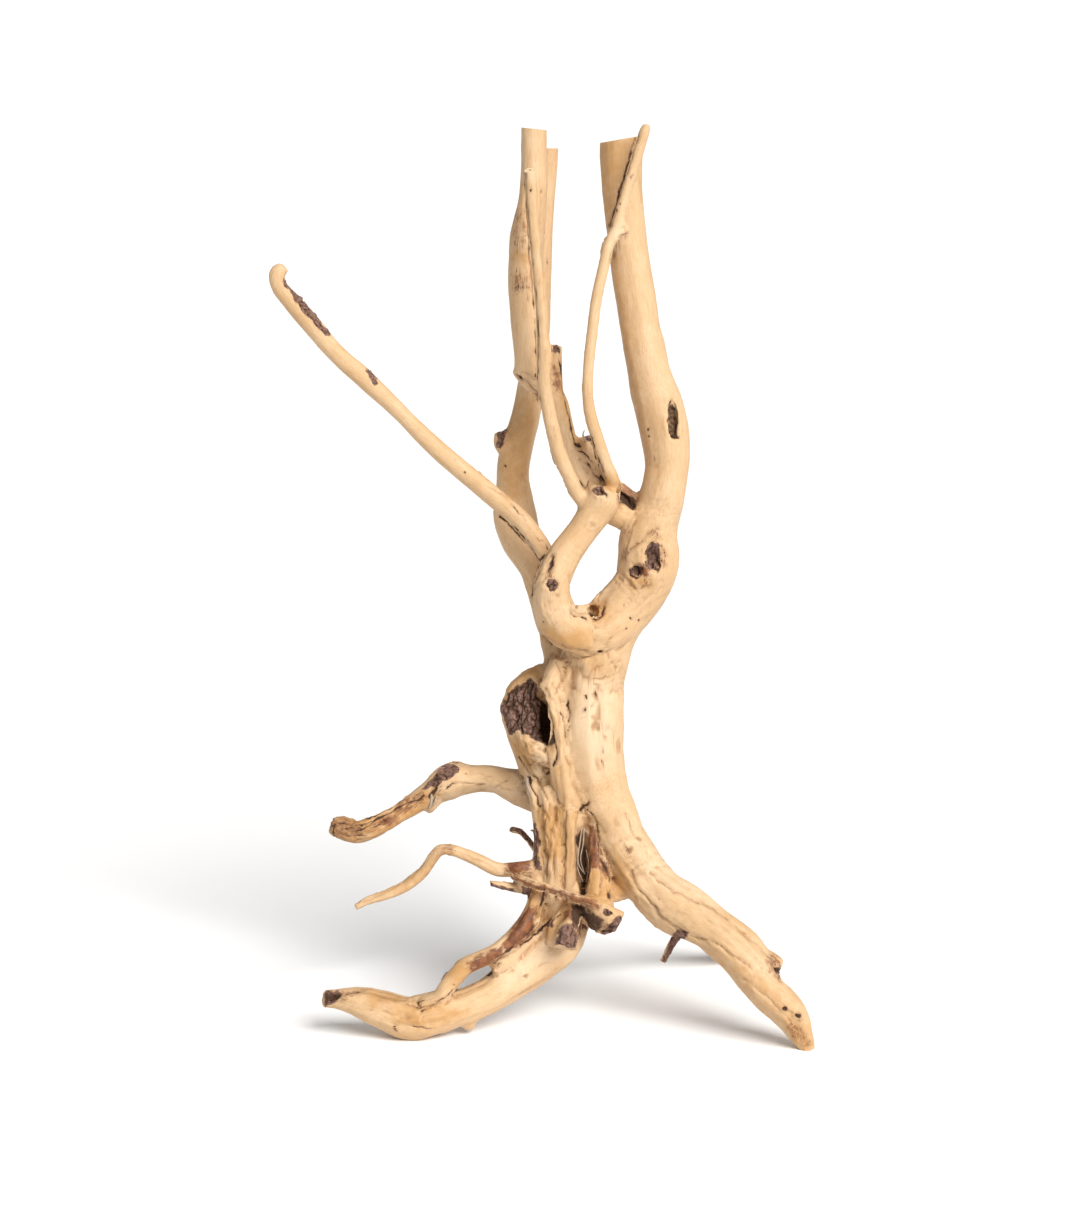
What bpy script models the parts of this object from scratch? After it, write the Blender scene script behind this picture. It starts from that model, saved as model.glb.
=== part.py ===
"""A weathered tree stump: one grown piece of pale, bark-stripped wood with spreading roots and sawn stems.

Every limb is set out as it is seen from the front. A station says how far across and how far up its
middle is seen on a picture plane through the trunk, how far it lies behind that plane, and how wide
the limb looks there. All of these are millimetres at real size. The limbs are bevelled curves that
are fused into one skin, hollowed, smoothed and thinned to few faces. Then the sawn ends are cut, and
the three feet are cut level where they stand.
"""

import math

import bpy
from mathutils import Vector

MM = 0.001

# The eye that the front view is seen from, 1.2 m before the trunk and a little under the top.
EYE_BEFORE = 1200.0
EYE_HEIGHT = 420.0
LOOK_HEIGHT = 215.0
# How far up the picture its middle lies, counted from the ground line under the right foot.
PICTURE_MIDDLE = 222.75

FUSE_VOXEL = 1.25 * MM
# What the smoothing takes off a limb all round is added to it beforehand.
SMOOTHING_LOSS = 0.25
SMOOTH_STEPS = 3
TRIANGLES_WANTED = 11000
LIMB_ROUNDNESS = 4
WOOD_COLOUR = (0.80, 0.60, 0.38, 1.0)
WOOD_ROUGHNESS = 0.62

# Each station: across, up, back, width seen. Limbs start inside what they grow from.
STEMS = {
    "main_stem": [
        (31, 122, 0, 28), (26, 142, 0, 32), (24, 160, 0, 35), (24, 175, 0, 35.5),
        (25.3, 187.5, 0, 34), (29.3, 200, 0, 32.6), (34.8, 211, 0, 29), (39.8, 218.5, 0, 28.5),
        (44.8, 224.3, 0, 28.8), (50.2, 231.5, 0, 28.2), (53.4, 239.5, 0, 30), (54.5, 247.5, 0, 30),
        (54.3, 255, 0, 29), (56, 262.5, 0, 26), (58.8, 270, 1, 23.5), (61, 277.5, 1, 22.5),
        (62.5, 285, 2, 22), (63.5, 292.5, 3, 22), (63.5, 300, 3, 23), (62.5, 307.5, 4, 24),
        (61, 315, 4, 24), (59.3, 322.5, 5, 24), (57, 330, 6, 23), (55, 337.5, 6, 21.3),
        (53.5, 345, 7, 21), (52, 352.5, 8, 21), (50.3, 360, 9, 20), (48, 375, 10, 19.8),
        (45.5, 390, 11, 19.8), (43.5, 407.5, 12, 19.5), (42, 422.5, 13, 19.5), (41, 437.5, 14, 20),
        (40.7, 452, 15, 21.2), (40.7, 461, 15, 21.5),
    ],
    "front_loop": [
        (28.5, 205, -6, 20), (20, 208, -12, 21), (12.5, 211.5, -17, 21), (7.5, 219, -20, 19.5), (6, 226, -21, 18.5), (6.2, 233, -22, 17.5), (8.6, 240, -20, 17), (12.3, 247.5, -18, 16),
        (17.5, 255, -16, 15), (23, 262.5, -14, 15), (28, 270, -12, 17), (31, 276, -12, 18),
        (32.5, 281, -12, 15),
    ],
    "front_twig": [
        (25, 272, -12, 8), (19, 277.5, -14, 7.2), (15.5, 285, -16, 7.2), (12, 292.5, -17, 7.4),
        (9, 300, -18, 7.4), (7, 307.5, -19, 7.2), (5.2, 315, -20, 7), (3.7, 322.5, -21, 6.8),
        (2.4, 330, -22, 7), (2, 337.5, -23, 7.8), (2.2, 349, -24, 7.8), (1.5, 355, -25, 6.5),
        (1.2, 362.5, -26, 6.2), (0.5, 375, -27, 6), (-1, 390, -28, 5.7), (-2.5, 405, -29, 5.7),
        (-3.7, 420, -30, 5.7), (-4.7, 435, -31, 6), (-5.2, 446, -31, 6),
    ],
    "bowed_twig": [
        (36.8, 279, -8, 8), (36, 285.5, -12, 7.2), (33, 292.5, -15, 6.8), (30.6, 300, -17, 6.4),
        (28.4, 307, -18, 6.2), (25.8, 315, -19, 6), (24.3, 322.5, -20, 5.7), (23.8, 330, -21, 5.5), (24.5, 345, -21, 5.5),
        (26.2, 360, -20, 5.5), (28.2, 375, -18, 5.5), (31.5, 390, -15, 5.6), (35, 403.5, -12, 5.6),
        (38.5, 410, -10, 6.6), (40, 417.5, -9, 5.6), (43.5, 430, -7, 5.2), (48, 445, -5, 5.2),
        (51, 455, -4, 5.2), (52.2, 459, -4, 5.2), (54, 463, -4, 4),
    ],
    "middle_stem": [
        (30, 272, -6, 9), (24, 279, -4, 9.5), (19, 288, -3, 9.5), (15, 297.5, -1, 9.5),
        (12.6, 307.5, 0, 10.4), (10.6, 315, 0, 10.8), (8.9, 322, 0, 11), (6, 327.5, 0, 11.5),
        (2, 333.5, 0, 14.5), (-3.5, 339, 0, 17), (-4.5, 346, 0, 16.5), (-5.5, 355, 0, 16.5),
        (-6.5, 365, 0, 16.5), (-7.3, 375, 0, 16.5), (-7.5, 385, 0, 17), (-7, 395, 0, 17),
        (-6.5, 405, -1, 17), (-5.5, 412.5, -1, 16.2), (-4, 422.5, -2, 14.3), (-3, 435, -2, 13.6),
        (-3, 450, -2, 12.8), (-3, 460, -2, 12.6), (-3, 468, -2, 12.6),
    ],
    "middle_burl": [(-4, 341, -1, 13), (-9.5, 338.5, -1, 9), (-12.5, 336.5, -1, 5)],
    "bowed_twig_stub": [(39, 411, -9, 6), (42.5, 410.5, -9, 5), (44.5, 408.5, -9, 4)],
    "eye_corner": [(18.5, 216, -9, 11), (26, 218, -5, 10), (32, 224, -2, 10)],
    "middle_stub": [
        (8, 320, 0, 9), (7.8, 334, 0, 7), (7.8, 346, 0, 6.4), (7.8, 357, 0, 6),
    ],
    "back_stem": [
        (13, 175, 12, 15), (11, 185, 14, 15), (9.5, 195, 17, 15), (8.2, 202.5, 19, 15.5),
        (7, 210, 21, 16), (5, 217.5, 23, 17), (3.6, 225, 25, 18), (1.8, 232.5, 26, 18),
        (-1, 240, 27, 18), (-5.3, 247.5, 28, 19), (-9.8, 256, 28, 20.5), (-12.6, 267.5, 28, 21.3),
        (-13.2, 277.5, 28, 18), (-13.7, 285, 28, 15.7), (-13.3, 292.5, 28, 15.7), (-11.7, 300, 28, 15.5),
        (-9.7, 307.5, 28, 15), (-7.5, 315, 28, 14.3), (-6, 322.5, 28, 13.5), (-4.5, 332.5, 28, 13),
        (-3, 345, 28, 12.5), (-1, 360, 29, 11.5), (0, 375, 29, 10.5), (0.5, 390, 30, 10.4),
        (1, 405, 31, 10.2), (1.8, 420, 32, 10), (2.8, 435, 33, 10.5), (3.5, 450, 34, 11),
        (3.8, 458, 34, 11),
    ],
    "back_stub": [
        (-14, 299, 26, 10), (-19, 304, 25, 8.5), (-20.5, 309, 25, 5),
    ],
    "long_branch": [
        (19, 205, 0, 10), (15, 215, 3, 9), (11.5, 225, 3, 9), (8, 235, 3, 9),
        (3, 247, 1, 9.5), (-3, 256.5, -1, 10), (-10.5, 265.5, -2, 10), (-21.5, 275, -5, 9.7),
        (-33.3, 285, -8, 9.7), (-42.3, 292.5, -9, 9.3), (-50.8, 300, -11, 9.2), (-58.8, 307.5, -12, 8.8),
        (-66.3, 315, -14, 8.2), (-73.8, 322.5, -15, 8.5), (-81.8, 330, -17, 9.2), (-89.8, 337.5, -18, 9.6),
        (-98.5, 345, -20, 9), (-105.8, 352.5, -21, 8.9), (-112.4, 360.5, -22, 9.5), (-119.2, 368.4, -23, 9.7), (-126, 376.4, -24, 9), (-130.8, 382.5, -25, 8), (-131.3, 388.3, -26, 8), (-127.4, 391.7, -26, 5.5),
    ],
    "torn_stub": [
        (30.5, 277, -2, 13), (28, 290, -2, 13), (25.5, 299, -2, 13), (23.7, 306.8, -2, 10),
    ],
    "crotch_swell": [(18, 207, -11, 20), (27, 208.5, -9, 23), (36, 213, -6, 24), (44, 222, -3, 24)],
    "upper_bridge": [(33, 282, 2, 6), (39, 281, 4, 6.5), (44, 277.5, 4, 6.5), (50, 272.5, 3, 7)],
    "lower_bridge": [(31, 272.5, -6, 14), (38, 268.5, -3, 13), (44, 266, -2, 13.5), (52, 264, 0, 14)],
}

TRUNK = {
    "left_column": [
        (14, 115, 4, 24), (9, 125, 5, 24), (3.5, 137.5, 7, 24), (-1.5, 150, 9, 23),
        (-5, 161.5, 10, 24), (-6.3, 171, 10, 25), (-4.5, 179, 11, 21), (1.5, 186, 12, 13),
        (7, 191, 12, 10),
    ],
    "trunk_ridge": [
        (9, 196, -6, 7), (6, 183, -9, 10), (8.5, 165, -11, 11), (10, 150, -11, 11),
        (13, 130, -10, 12), (15, 118, -9, 10),
    ],
    "pocket_lip": [(9, 148, -6, 11), (1, 149, -6, 12), (-5, 153, -3, 10), (-9, 160, 1, 7)],
    "pocket_knob": [(9, 184, -9, 8), (4, 183, -10, 7), (3, 180, -9, 5)],
}

ROOTS = {
    "right_leg": [
        (26, 142, 0, 31), (31, 127, -1, 28), (38.5, 114, -3, 23), (41.3, 104.5, -5, 24),
        (46.3, 95.5, -8, 25.5), (51, 88, -11, 26), (57.8, 80.5, -15, 25), (65, 74, -19, 25),
        (72, 69, -22, 24), (79, 64.5, -26, 22.5), (85.8, 60.3, -29, 21.5), (92, 55, -32, 21.8),
        (102.8, 44.8, -37, 22), (108.2, 37, -40, 20.5), (113.5, 29.2, -42, 18), (121, 22.6, -44, 18), (126.5, 16, -46, 16.5), (130.4, 8, -47, 12), (134.3, 0, -48, 7.5),
    ],
    "right_leg_ridge": [
        (46, 108, -4, 11), (53, 98, -8, 11), (62, 85.3, -14, 11), (76.5, 76.3, -21, 11),
        (90.5, 64.8, -28, 10.5), (104, 55, -34, 10.5), (111, 47, -36, 9),
    ],
    "right_leg_under": [
        (36, 100, -4, 8), (42, 88, -9, 8), (48, 78, -13, 7.5), (55, 69, -16, 7),
        (63, 62, -18, 6), (71, 58, -19, 4.5),
    ],
    "right_leg_knob": [
        (106, 48, -35, 9), (113, 45, -34, 10), (119.3, 41.3, -34, 9.5),
    ],
    "dark_spur": [
        (73.5, 64, -15, 5), (68.5, 57, -14, 4.4), (64.8, 51, -13, 3.8), (61.3, 43.5, -13, 3),
    ],
    "left_leg": [
        (20, 140, 0, 28), (14, 124, 0, 27), (9.5, 105, 0, 25), (8.5, 97.5, -1, 24),
        (8.5, 85, -2, 24), (11, 74, -4, 24), (13, 64, -7, 24.5), (9, 54.5, -10, 24),
        (0.5, 46.5, -13, 22.5), (-10, 38.5, -18, 20.5), (-22, 30, -23, 18.5), (-31, 25, -26, 18),
        (-42.5, 20.5, -29, 19.5), (-54, 18.5, -31, 21.5), (-65, 16.2, -32, 21.6), (-77.5, 20, -32, 19.5),
        (-88, 23, -32, 15.5), (-100, 25.2, -32, 10.5), (-107, 25.5, -32, 8.5), (-113, 26, -32, 8),
    ],
    "left_leg_thorn": [
        (-36, 22, -27, 9), (-35.5, 15, -27, 8), (-35.5, 10, -27, 5),
    ],
    "red_root": [
        (4, 93, -4, 6), (-1, 86, -9, 6.5), (-2, 76, -14, 7.5), (-4.5, 67, -18, 10), (-11.5, 57.3, -24, 10), (-21, 49.5, -29, 9), (-29, 45.5, -32, 8.5), (-38, 41, -34, 8.5),
        (-44, 34.5, -35, 8.5), (-50, 27, -37, 8), (-58, 23.5, -36, 7),
    ],
    "upper_root": [
        (14, 122, 5, 18), (3, 127, 10, 20), (-6, 130, 13, 20), (-16, 133.3, 17, 15.5),
        (-25, 135.5, 21, 14), (-35, 135.5, 23, 14.5), (-42.5, 135.2, 24, 17.5), (-49.3, 132, 24, 17),
        (-56, 128, 23, 13), (-67.5, 120.5, 19, 9.6), (-73.3, 117, 17, 9.6), (-84, 111.5, 14, 11),
        (-93.5, 109, 12.5, 11), (-99.8, 111, 12, 10.8), (-104.3, 113, 12, 8.5),
    ],
    "thin_root": [
        (5, 92, -1, 8), (-3.5, 91, -6, 8), (-12.5, 90.5, -9, 7.2), (-20, 90, -10, 6.7),
        (-30, 94.5, -11, 6.3), (-37, 97.5, -11, 6), (-44, 100, -12, 5.6), (-49.5, 100.3, -12, 5.4),
        (-53.2, 96.6, -12, 5.6), (-58.2, 89.3, -13, 5.6), (-62.8, 85.2, -14, 5.8), (-68.2, 81.5, -15, 5.4), (-77, 77.6, -16, 5), (-85.5, 75, -17, 4.2), (-92.5, 71.3, -18, 3.2),
    ],
    "crossing_root": [
        (-14, 89, -13, 5), (-10, 85.5, -18, 4.6), (-2.5, 83, -22, 4.6), (9, 79.2, -26, 4.6),
        (17.5, 76, -28, 4.8), (25, 74, -29, 5.2), (31, 70.8, -30, 6.5), (36.5, 67.5, -31, 8),
        (40, 63, -32, 11),
    ],
    "inner_root": [
        (26, 122, -3, 6), (26.5, 110, -6, 7), (27.5, 100, -9, 8.5), (29, 88, -14, 12),
        (29, 78.5, -18, 14), (29.3, 71.5, -22, 15.5), (30.3, 65.5, -26, 16), (33.3, 62, -29, 15),
        (37, 62, -31, 12),
    ],
    "cavity_back": [
        (22, 128, 2, 14), (22, 112, 2, 16), (21, 96, 1, 17), (20, 82, -1, 16), (18, 68, -4, 14),
    ],
    "red_root_seam": [(-1, 72, -9, 8), (-5, 61, -16, 9), (-12, 51, -21, 9.5), (-19, 44.5, -26, 9), (-24, 40, -28.5, 6)],
    "upper_root_splinter": [(-51, 126, 21, 6), (-54.5, 121.5, 20, 5), (-56, 118.5, 19.5, 3)],
    "root_web": [
        (31, 79, -15, 8), (37.5, 78.5, -13, 10), (45, 82, -10, 8),
    ],
    "barked_stub": [
        (20, 82, -12, 6.5), (17.5, 72.5, -20, 7.5), (15.5, 65, -26, 9), (13.5, 57.5, -31, 10.5),
        (12, 48, -35, 10.5),
    ],
    "stub_strand": [
        (19, 75.5, -17, 4.5), (13, 70.5, -21, 4.6), (8.5, 65, -23, 4.8), (6, 58.5, -23, 4.5),
        (5, 52, -20, 4),
    ],
    "broken_twig": [
        (-1, 80.5, -6, 6), (-8, 80.5, -10, 5), (-16, 81.8, -13, 4.2), (-25, 83.5, -15, 3),
    ],
    "dark_twig": [
        (1, 97, 2, 4), (-3.5, 102, 8, 3.4), (-7, 106.5, 12, 3.2), (-10.5, 109.5, 14, 3.2),
        (-15, 110.3, 15, 3),
    ],
    "rear_root": [
        (32, 125, 6, 20), (42, 108, 18, 18), (54, 92, 34, 16), (66, 79, 50, 15), (79, 67, 65, 14),
        (90, 56, 78, 13), (96.5, 50, 88, 12), (99, 46.5, 92, 9.5),
    ],
}

# Ribs that stand out along the left leg's column.
RIBS = {
    "finger_rib": [(14.5, 124, -12, 6), (15, 112, -13, 7), (15, 98, -13, 7), (14.5, 84, -13, 7), (16, 74, -14, 6)],
    "side_rib": [(3, 132, -7, 6.5), (5, 112, -11, 7), (7.5, 92, -12.5, 7), (5, 74, -13, 6)],
    "edge_rib": [(-3.5, 134, -2, 7), (-0.5, 116, -6, 6.5), (0.5, 98, -8, 6.5), (-0.5, 84, -9, 5)],
}

# Hollows: across, up, back, then half sizes across, back and up.
HOLLOWS = {
    "pocket": (-3, 168, -7, 8.5, 13, 15),
    "pocket_depth": (3, 164, -1, 6.5, 13, 11.5),
    "root_cavity": (21.5, 92, -17, 3.2, 9, 16),
    "cup_end": (32.5, 57.5, -37, 8, 7, 5),
    "stem_slit": (67, 315, -8, 2.6, 6, 10.5),
    "upper_eye": (56.7, 246, -15, 3.8, 5.5, 7.5),
    "lower_eye": (48.5, 240, -14.5, 3.9, 5.5, 3.9),
    "crotch_hole": (26.5, 219.5, -10, 3.5, 8, 3),
}


# Sawn or snapped ends: across, up, back of the cut's middle, which way the cut looks (right, back, up)
# and the half width of the block that is cut away.
CUT_ENDS = {
    "main_stem_end": (40.7, 455.4, 15, (-0.17, -0.02, 1), 13),
    "middle_stem_end": (-3, 460.6, -2, (0.1, -0.02, 1), 8),
    "back_stem_end": (3.7, 450.8, 34, (0, 0, 1), 8),
    "front_twig_end": (-5, 440, -31, (-0.15, -0.35, 1), 5),
    "middle_stub_end": (7.8, 352, 0, (0.2, -0.1, 1), 6),
    "left_leg_end": (-107.5, 25.2, -32, (-1, -0.45, 0.25), 9),
    "barked_stub_end": (12.4, 51.5, -34, (-0.1, -0.5, -0.9), 8),
}


def seen_at(across, up, back):
    """The place of a station in metres, and how much larger things there are than on the picture plane."""
    drop = EYE_HEIGHT - LOOK_HEIGHT
    pitch = math.atan2(drop, EYE_BEFORE)
    reach = math.hypot(drop, EYE_BEFORE)
    rise = up - PICTURE_MIDDLE
    forward = reach * math.cos(pitch) + rise * math.sin(pitch)
    upward = rise * math.cos(pitch) - reach * math.sin(pitch)
    share = (EYE_BEFORE + back) / forward
    place = Vector((across * share, back, EYE_HEIGHT + upward * share))
    return place * MM, share


def limb_mesh(name, stations):
    """A round limb along a smooth line through its stations, closed at both ends."""
    line = bpy.data.curves.new(name, "CURVE")
    line.dimensions = "3D"
    line.resolution_u = 5
    line.bevel_depth = 1.0
    line.bevel_resolution = LIMB_ROUNDNESS
    line.use_fill_caps = True
    spline = line.splines.new("BEZIER")
    spline.radius_interpolation = "CARDINAL"
    spline.bezier_points.add(len(stations) - 1)
    for point, (across, up, back, width) in zip(spline.bezier_points, stations):
        place, share = seen_at(across, up, back)
        point.co = place
        point.radius = (width / 2 * share + SMOOTHING_LOSS) * MM
        point.handle_left_type = "AUTO"
        point.handle_right_type = "AUTO"
    limb = bpy.data.objects.new(name, line)
    bpy.context.collection.objects.link(limb)
    return limb


def joined(limbs, name):
    """One mesh object that holds all the limbs, still as separate overlapping tubes."""
    bpy.ops.object.select_all(action="DESELECT")
    for limb in limbs:
        limb.select_set(True)
    bpy.context.view_layer.objects.active = limbs[0]
    bpy.ops.object.convert(target="MESH")
    bpy.ops.object.join()
    whole = bpy.context.view_layer.objects.active
    whole.name = name
    whole.data.name = name
    return whole


def apply_all(thing):
    """Makes what the modifiers show the object's own mesh."""
    bpy.ops.object.select_all(action="DESELECT")
    thing.select_set(True)
    bpy.context.view_layer.objects.active = thing
    bpy.ops.object.convert(target="MESH")


def hollow_cutter(name, across, up, back, half_across, half_back, half_up):
    """An egg-shaped cutter for one hollow, kept out of the model."""
    place, share = seen_at(across, up, back)
    bpy.ops.mesh.primitive_ico_sphere_add(subdivisions=3, radius=1.0, location=place)
    cutter = bpy.context.object
    cutter.name = name + "_cutter"
    cutter.scale = Vector((half_across, half_back, half_up)) * share * MM
    bpy.ops.object.transform_apply(location=False, rotation=False, scale=True)
    return cutter


def cut_from(thing, cutter):
    """Takes the cutter's shape out of the object, then removes the cutter."""
    cut = thing.modifiers.new("Cut", "BOOLEAN")
    cut.operation = "DIFFERENCE"
    cut.solver = "EXACT"
    cut.object = cutter
    apply_all(thing)
    bpy.data.objects.remove(cutter)


def block_cutter(name, place, looks, half_width, depth):
    """A block that takes away all it covers beyond a flat cut; the cut looks the way given."""
    turn = Vector(looks).to_track_quat("Z", "Y")
    middle = place + Vector(looks).normalized() * depth / 2
    bpy.ops.mesh.primitive_cube_add(size=1.0, location=middle, rotation=turn.to_euler())
    block = bpy.context.object
    block.name = name + "_cutter"
    block.scale = (2 * half_width, 2 * half_width, depth)
    bpy.ops.object.transform_apply(location=False, rotation=False, scale=True)
    return block


def settle(thing):
    """Puts the middle of the footprint's box on the origin and the ground at height nought."""
    across = [vertex.co.x for vertex in thing.data.vertices]
    back = [vertex.co.y for vertex in thing.data.vertices]
    up = [vertex.co.z for vertex in thing.data.vertices]
    middle = Vector(((min(across) + max(across)) / 2, (min(back) + max(back)) / 2, min(up)))
    for vertex in thing.data.vertices:
        vertex.co -= middle


def wood_material():
    wood = bpy.data.materials.new("pale_wood")
    wood.use_nodes = True
    shader = wood.node_tree.nodes["Principled BSDF"]
    shader.inputs["Base Color"].default_value = WOOD_COLOUR
    shader.inputs["Roughness"].default_value = WOOD_ROUGHNESS
    shader.inputs["Metallic"].default_value = 0.0
    return wood


def build_stump():
    limbs = []
    for group in (TRUNK, STEMS, ROOTS, RIBS):
        limbs += [limb_mesh(name, stations) for name, stations in group.items()]
    stump = joined(limbs, "stump")

    fuse = stump.modifiers.new("Fuse", "REMESH")
    fuse.mode = "VOXEL"
    fuse.voxel_size = FUSE_VOXEL
    apply_all(stump)

    for name, sizes in HOLLOWS.items():
        cut_from(stump, hollow_cutter(name, *sizes))

    even = stump.modifiers.new("Even", "REMESH")
    even.mode = "VOXEL"
    even.voxel_size = FUSE_VOXEL
    soften = stump.modifiers.new("Soften", "SMOOTH")
    soften.factor = 0.5
    soften.iterations = SMOOTH_STEPS
    apply_all(stump)

    thin = stump.modifiers.new("Thin", "DECIMATE")
    thin.ratio = TRIANGLES_WANTED / (2 * len(stump.data.polygons))
    thin.use_collapse_triangulate = True
    apply_all(stump)

    for name, (across, up, back, looks, half_width) in CUT_ENDS.items():
        place, share = seen_at(across, up, back)
        cut_from(stump, block_cutter(name, place, looks, half_width * MM, 14 * MM))
    cut_from(stump, block_cutter("ground", Vector((0, 0, 0)), (0, 0, -1), 0.4, 0.1))
    settle(stump)
    stump.data.materials.clear()
    stump.data.materials.append(wood_material())
    stump.data.shade_smooth()
    return stump


for old in list(bpy.data.objects):
    bpy.data.objects.remove(old)
build_stump()
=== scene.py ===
import math
import random
import time

import bpy
import numpy as np
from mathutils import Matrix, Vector
from mathutils.bvhtree import BVHTree


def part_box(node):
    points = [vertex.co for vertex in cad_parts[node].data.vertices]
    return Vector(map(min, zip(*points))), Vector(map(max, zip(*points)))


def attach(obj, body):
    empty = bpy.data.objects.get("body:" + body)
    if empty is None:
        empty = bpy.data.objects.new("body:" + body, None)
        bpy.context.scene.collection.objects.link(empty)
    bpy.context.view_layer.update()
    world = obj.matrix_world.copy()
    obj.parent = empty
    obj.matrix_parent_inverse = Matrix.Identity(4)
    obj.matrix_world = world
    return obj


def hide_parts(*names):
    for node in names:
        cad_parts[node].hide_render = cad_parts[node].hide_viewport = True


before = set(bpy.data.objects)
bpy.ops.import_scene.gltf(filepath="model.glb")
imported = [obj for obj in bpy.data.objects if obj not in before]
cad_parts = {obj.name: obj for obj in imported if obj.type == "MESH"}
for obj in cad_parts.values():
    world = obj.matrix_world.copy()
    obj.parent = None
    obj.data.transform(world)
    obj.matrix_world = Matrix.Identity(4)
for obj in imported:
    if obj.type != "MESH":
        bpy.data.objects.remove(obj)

MM = 0.001
started = time.time()
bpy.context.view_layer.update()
low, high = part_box("stump")
print("packed stump", [round(v / MM, 1) for v in high - low], "mm")
# %% [markdown]
# ## The eye of the photograph
# Everything is set out as it is seen from the front. Millimetres across and up are read on a picture plane
# through the trunk, and each place also says how far behind that plane it lies. The camera stands at the
# same eye, so what is set out in the picture is seen there again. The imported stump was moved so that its
# footprint is centred on the origin, and the same move is made here.
# %% From the picture to the stump and back
EYE_BEFORE = 1200.0
EYE_HEIGHT = 420.0
LOOK_HEIGHT = 215.0
PICTURE_MIDDLE = 222.75
PIXELS_PER_MM = 2
MIDDLE_COLUMN = 540
GROUND_ROW = 1050
MOVED = Vector((3.396, 20.917, 0.0))
DROP = EYE_HEIGHT - LOOK_HEIGHT
PITCH = math.atan2(DROP, EYE_BEFORE)
REACH = math.hypot(DROP, EYE_BEFORE)


def seen_at(across, up, back):
    """The place in metres of what is seen there, and how much larger things there are than they look."""
    rise = up - PICTURE_MIDDLE
    forward = REACH * math.cos(PITCH) + rise * math.sin(PITCH)
    upward = rise * math.cos(PITCH) - REACH * math.sin(PITCH)
    share = (EYE_BEFORE + back) / forward
    place = Vector((across * share, back, EYE_HEIGHT + upward * share)) - MOVED
    return place * MM, share


def as_pictured(places):
    """Where points of the stump, in metres, are seen in the photograph, in its pixels."""
    x = places[:, 0] / MM + MOVED.x
    y = places[:, 1] / MM + MOVED.y + EYE_BEFORE
    z = places[:, 2] / MM - EYE_HEIGHT
    forward = y * math.cos(PITCH) - z * math.sin(PITCH)
    upward = z * math.cos(PITCH) + y * math.sin(PITCH)
    across = REACH * x / forward
    up = REACH * upward / forward + PICTURE_MIDDLE
    return np.stack([MIDDLE_COLUMN + PIXELS_PER_MM * across, GROUND_ROW - PIXELS_PER_MM * up], axis=1)


EYE = (Vector((0, -EYE_BEFORE, EYE_HEIGHT)) - MOVED) * MM
print("eye at", [round(v, 3) for v in EYE])
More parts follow.
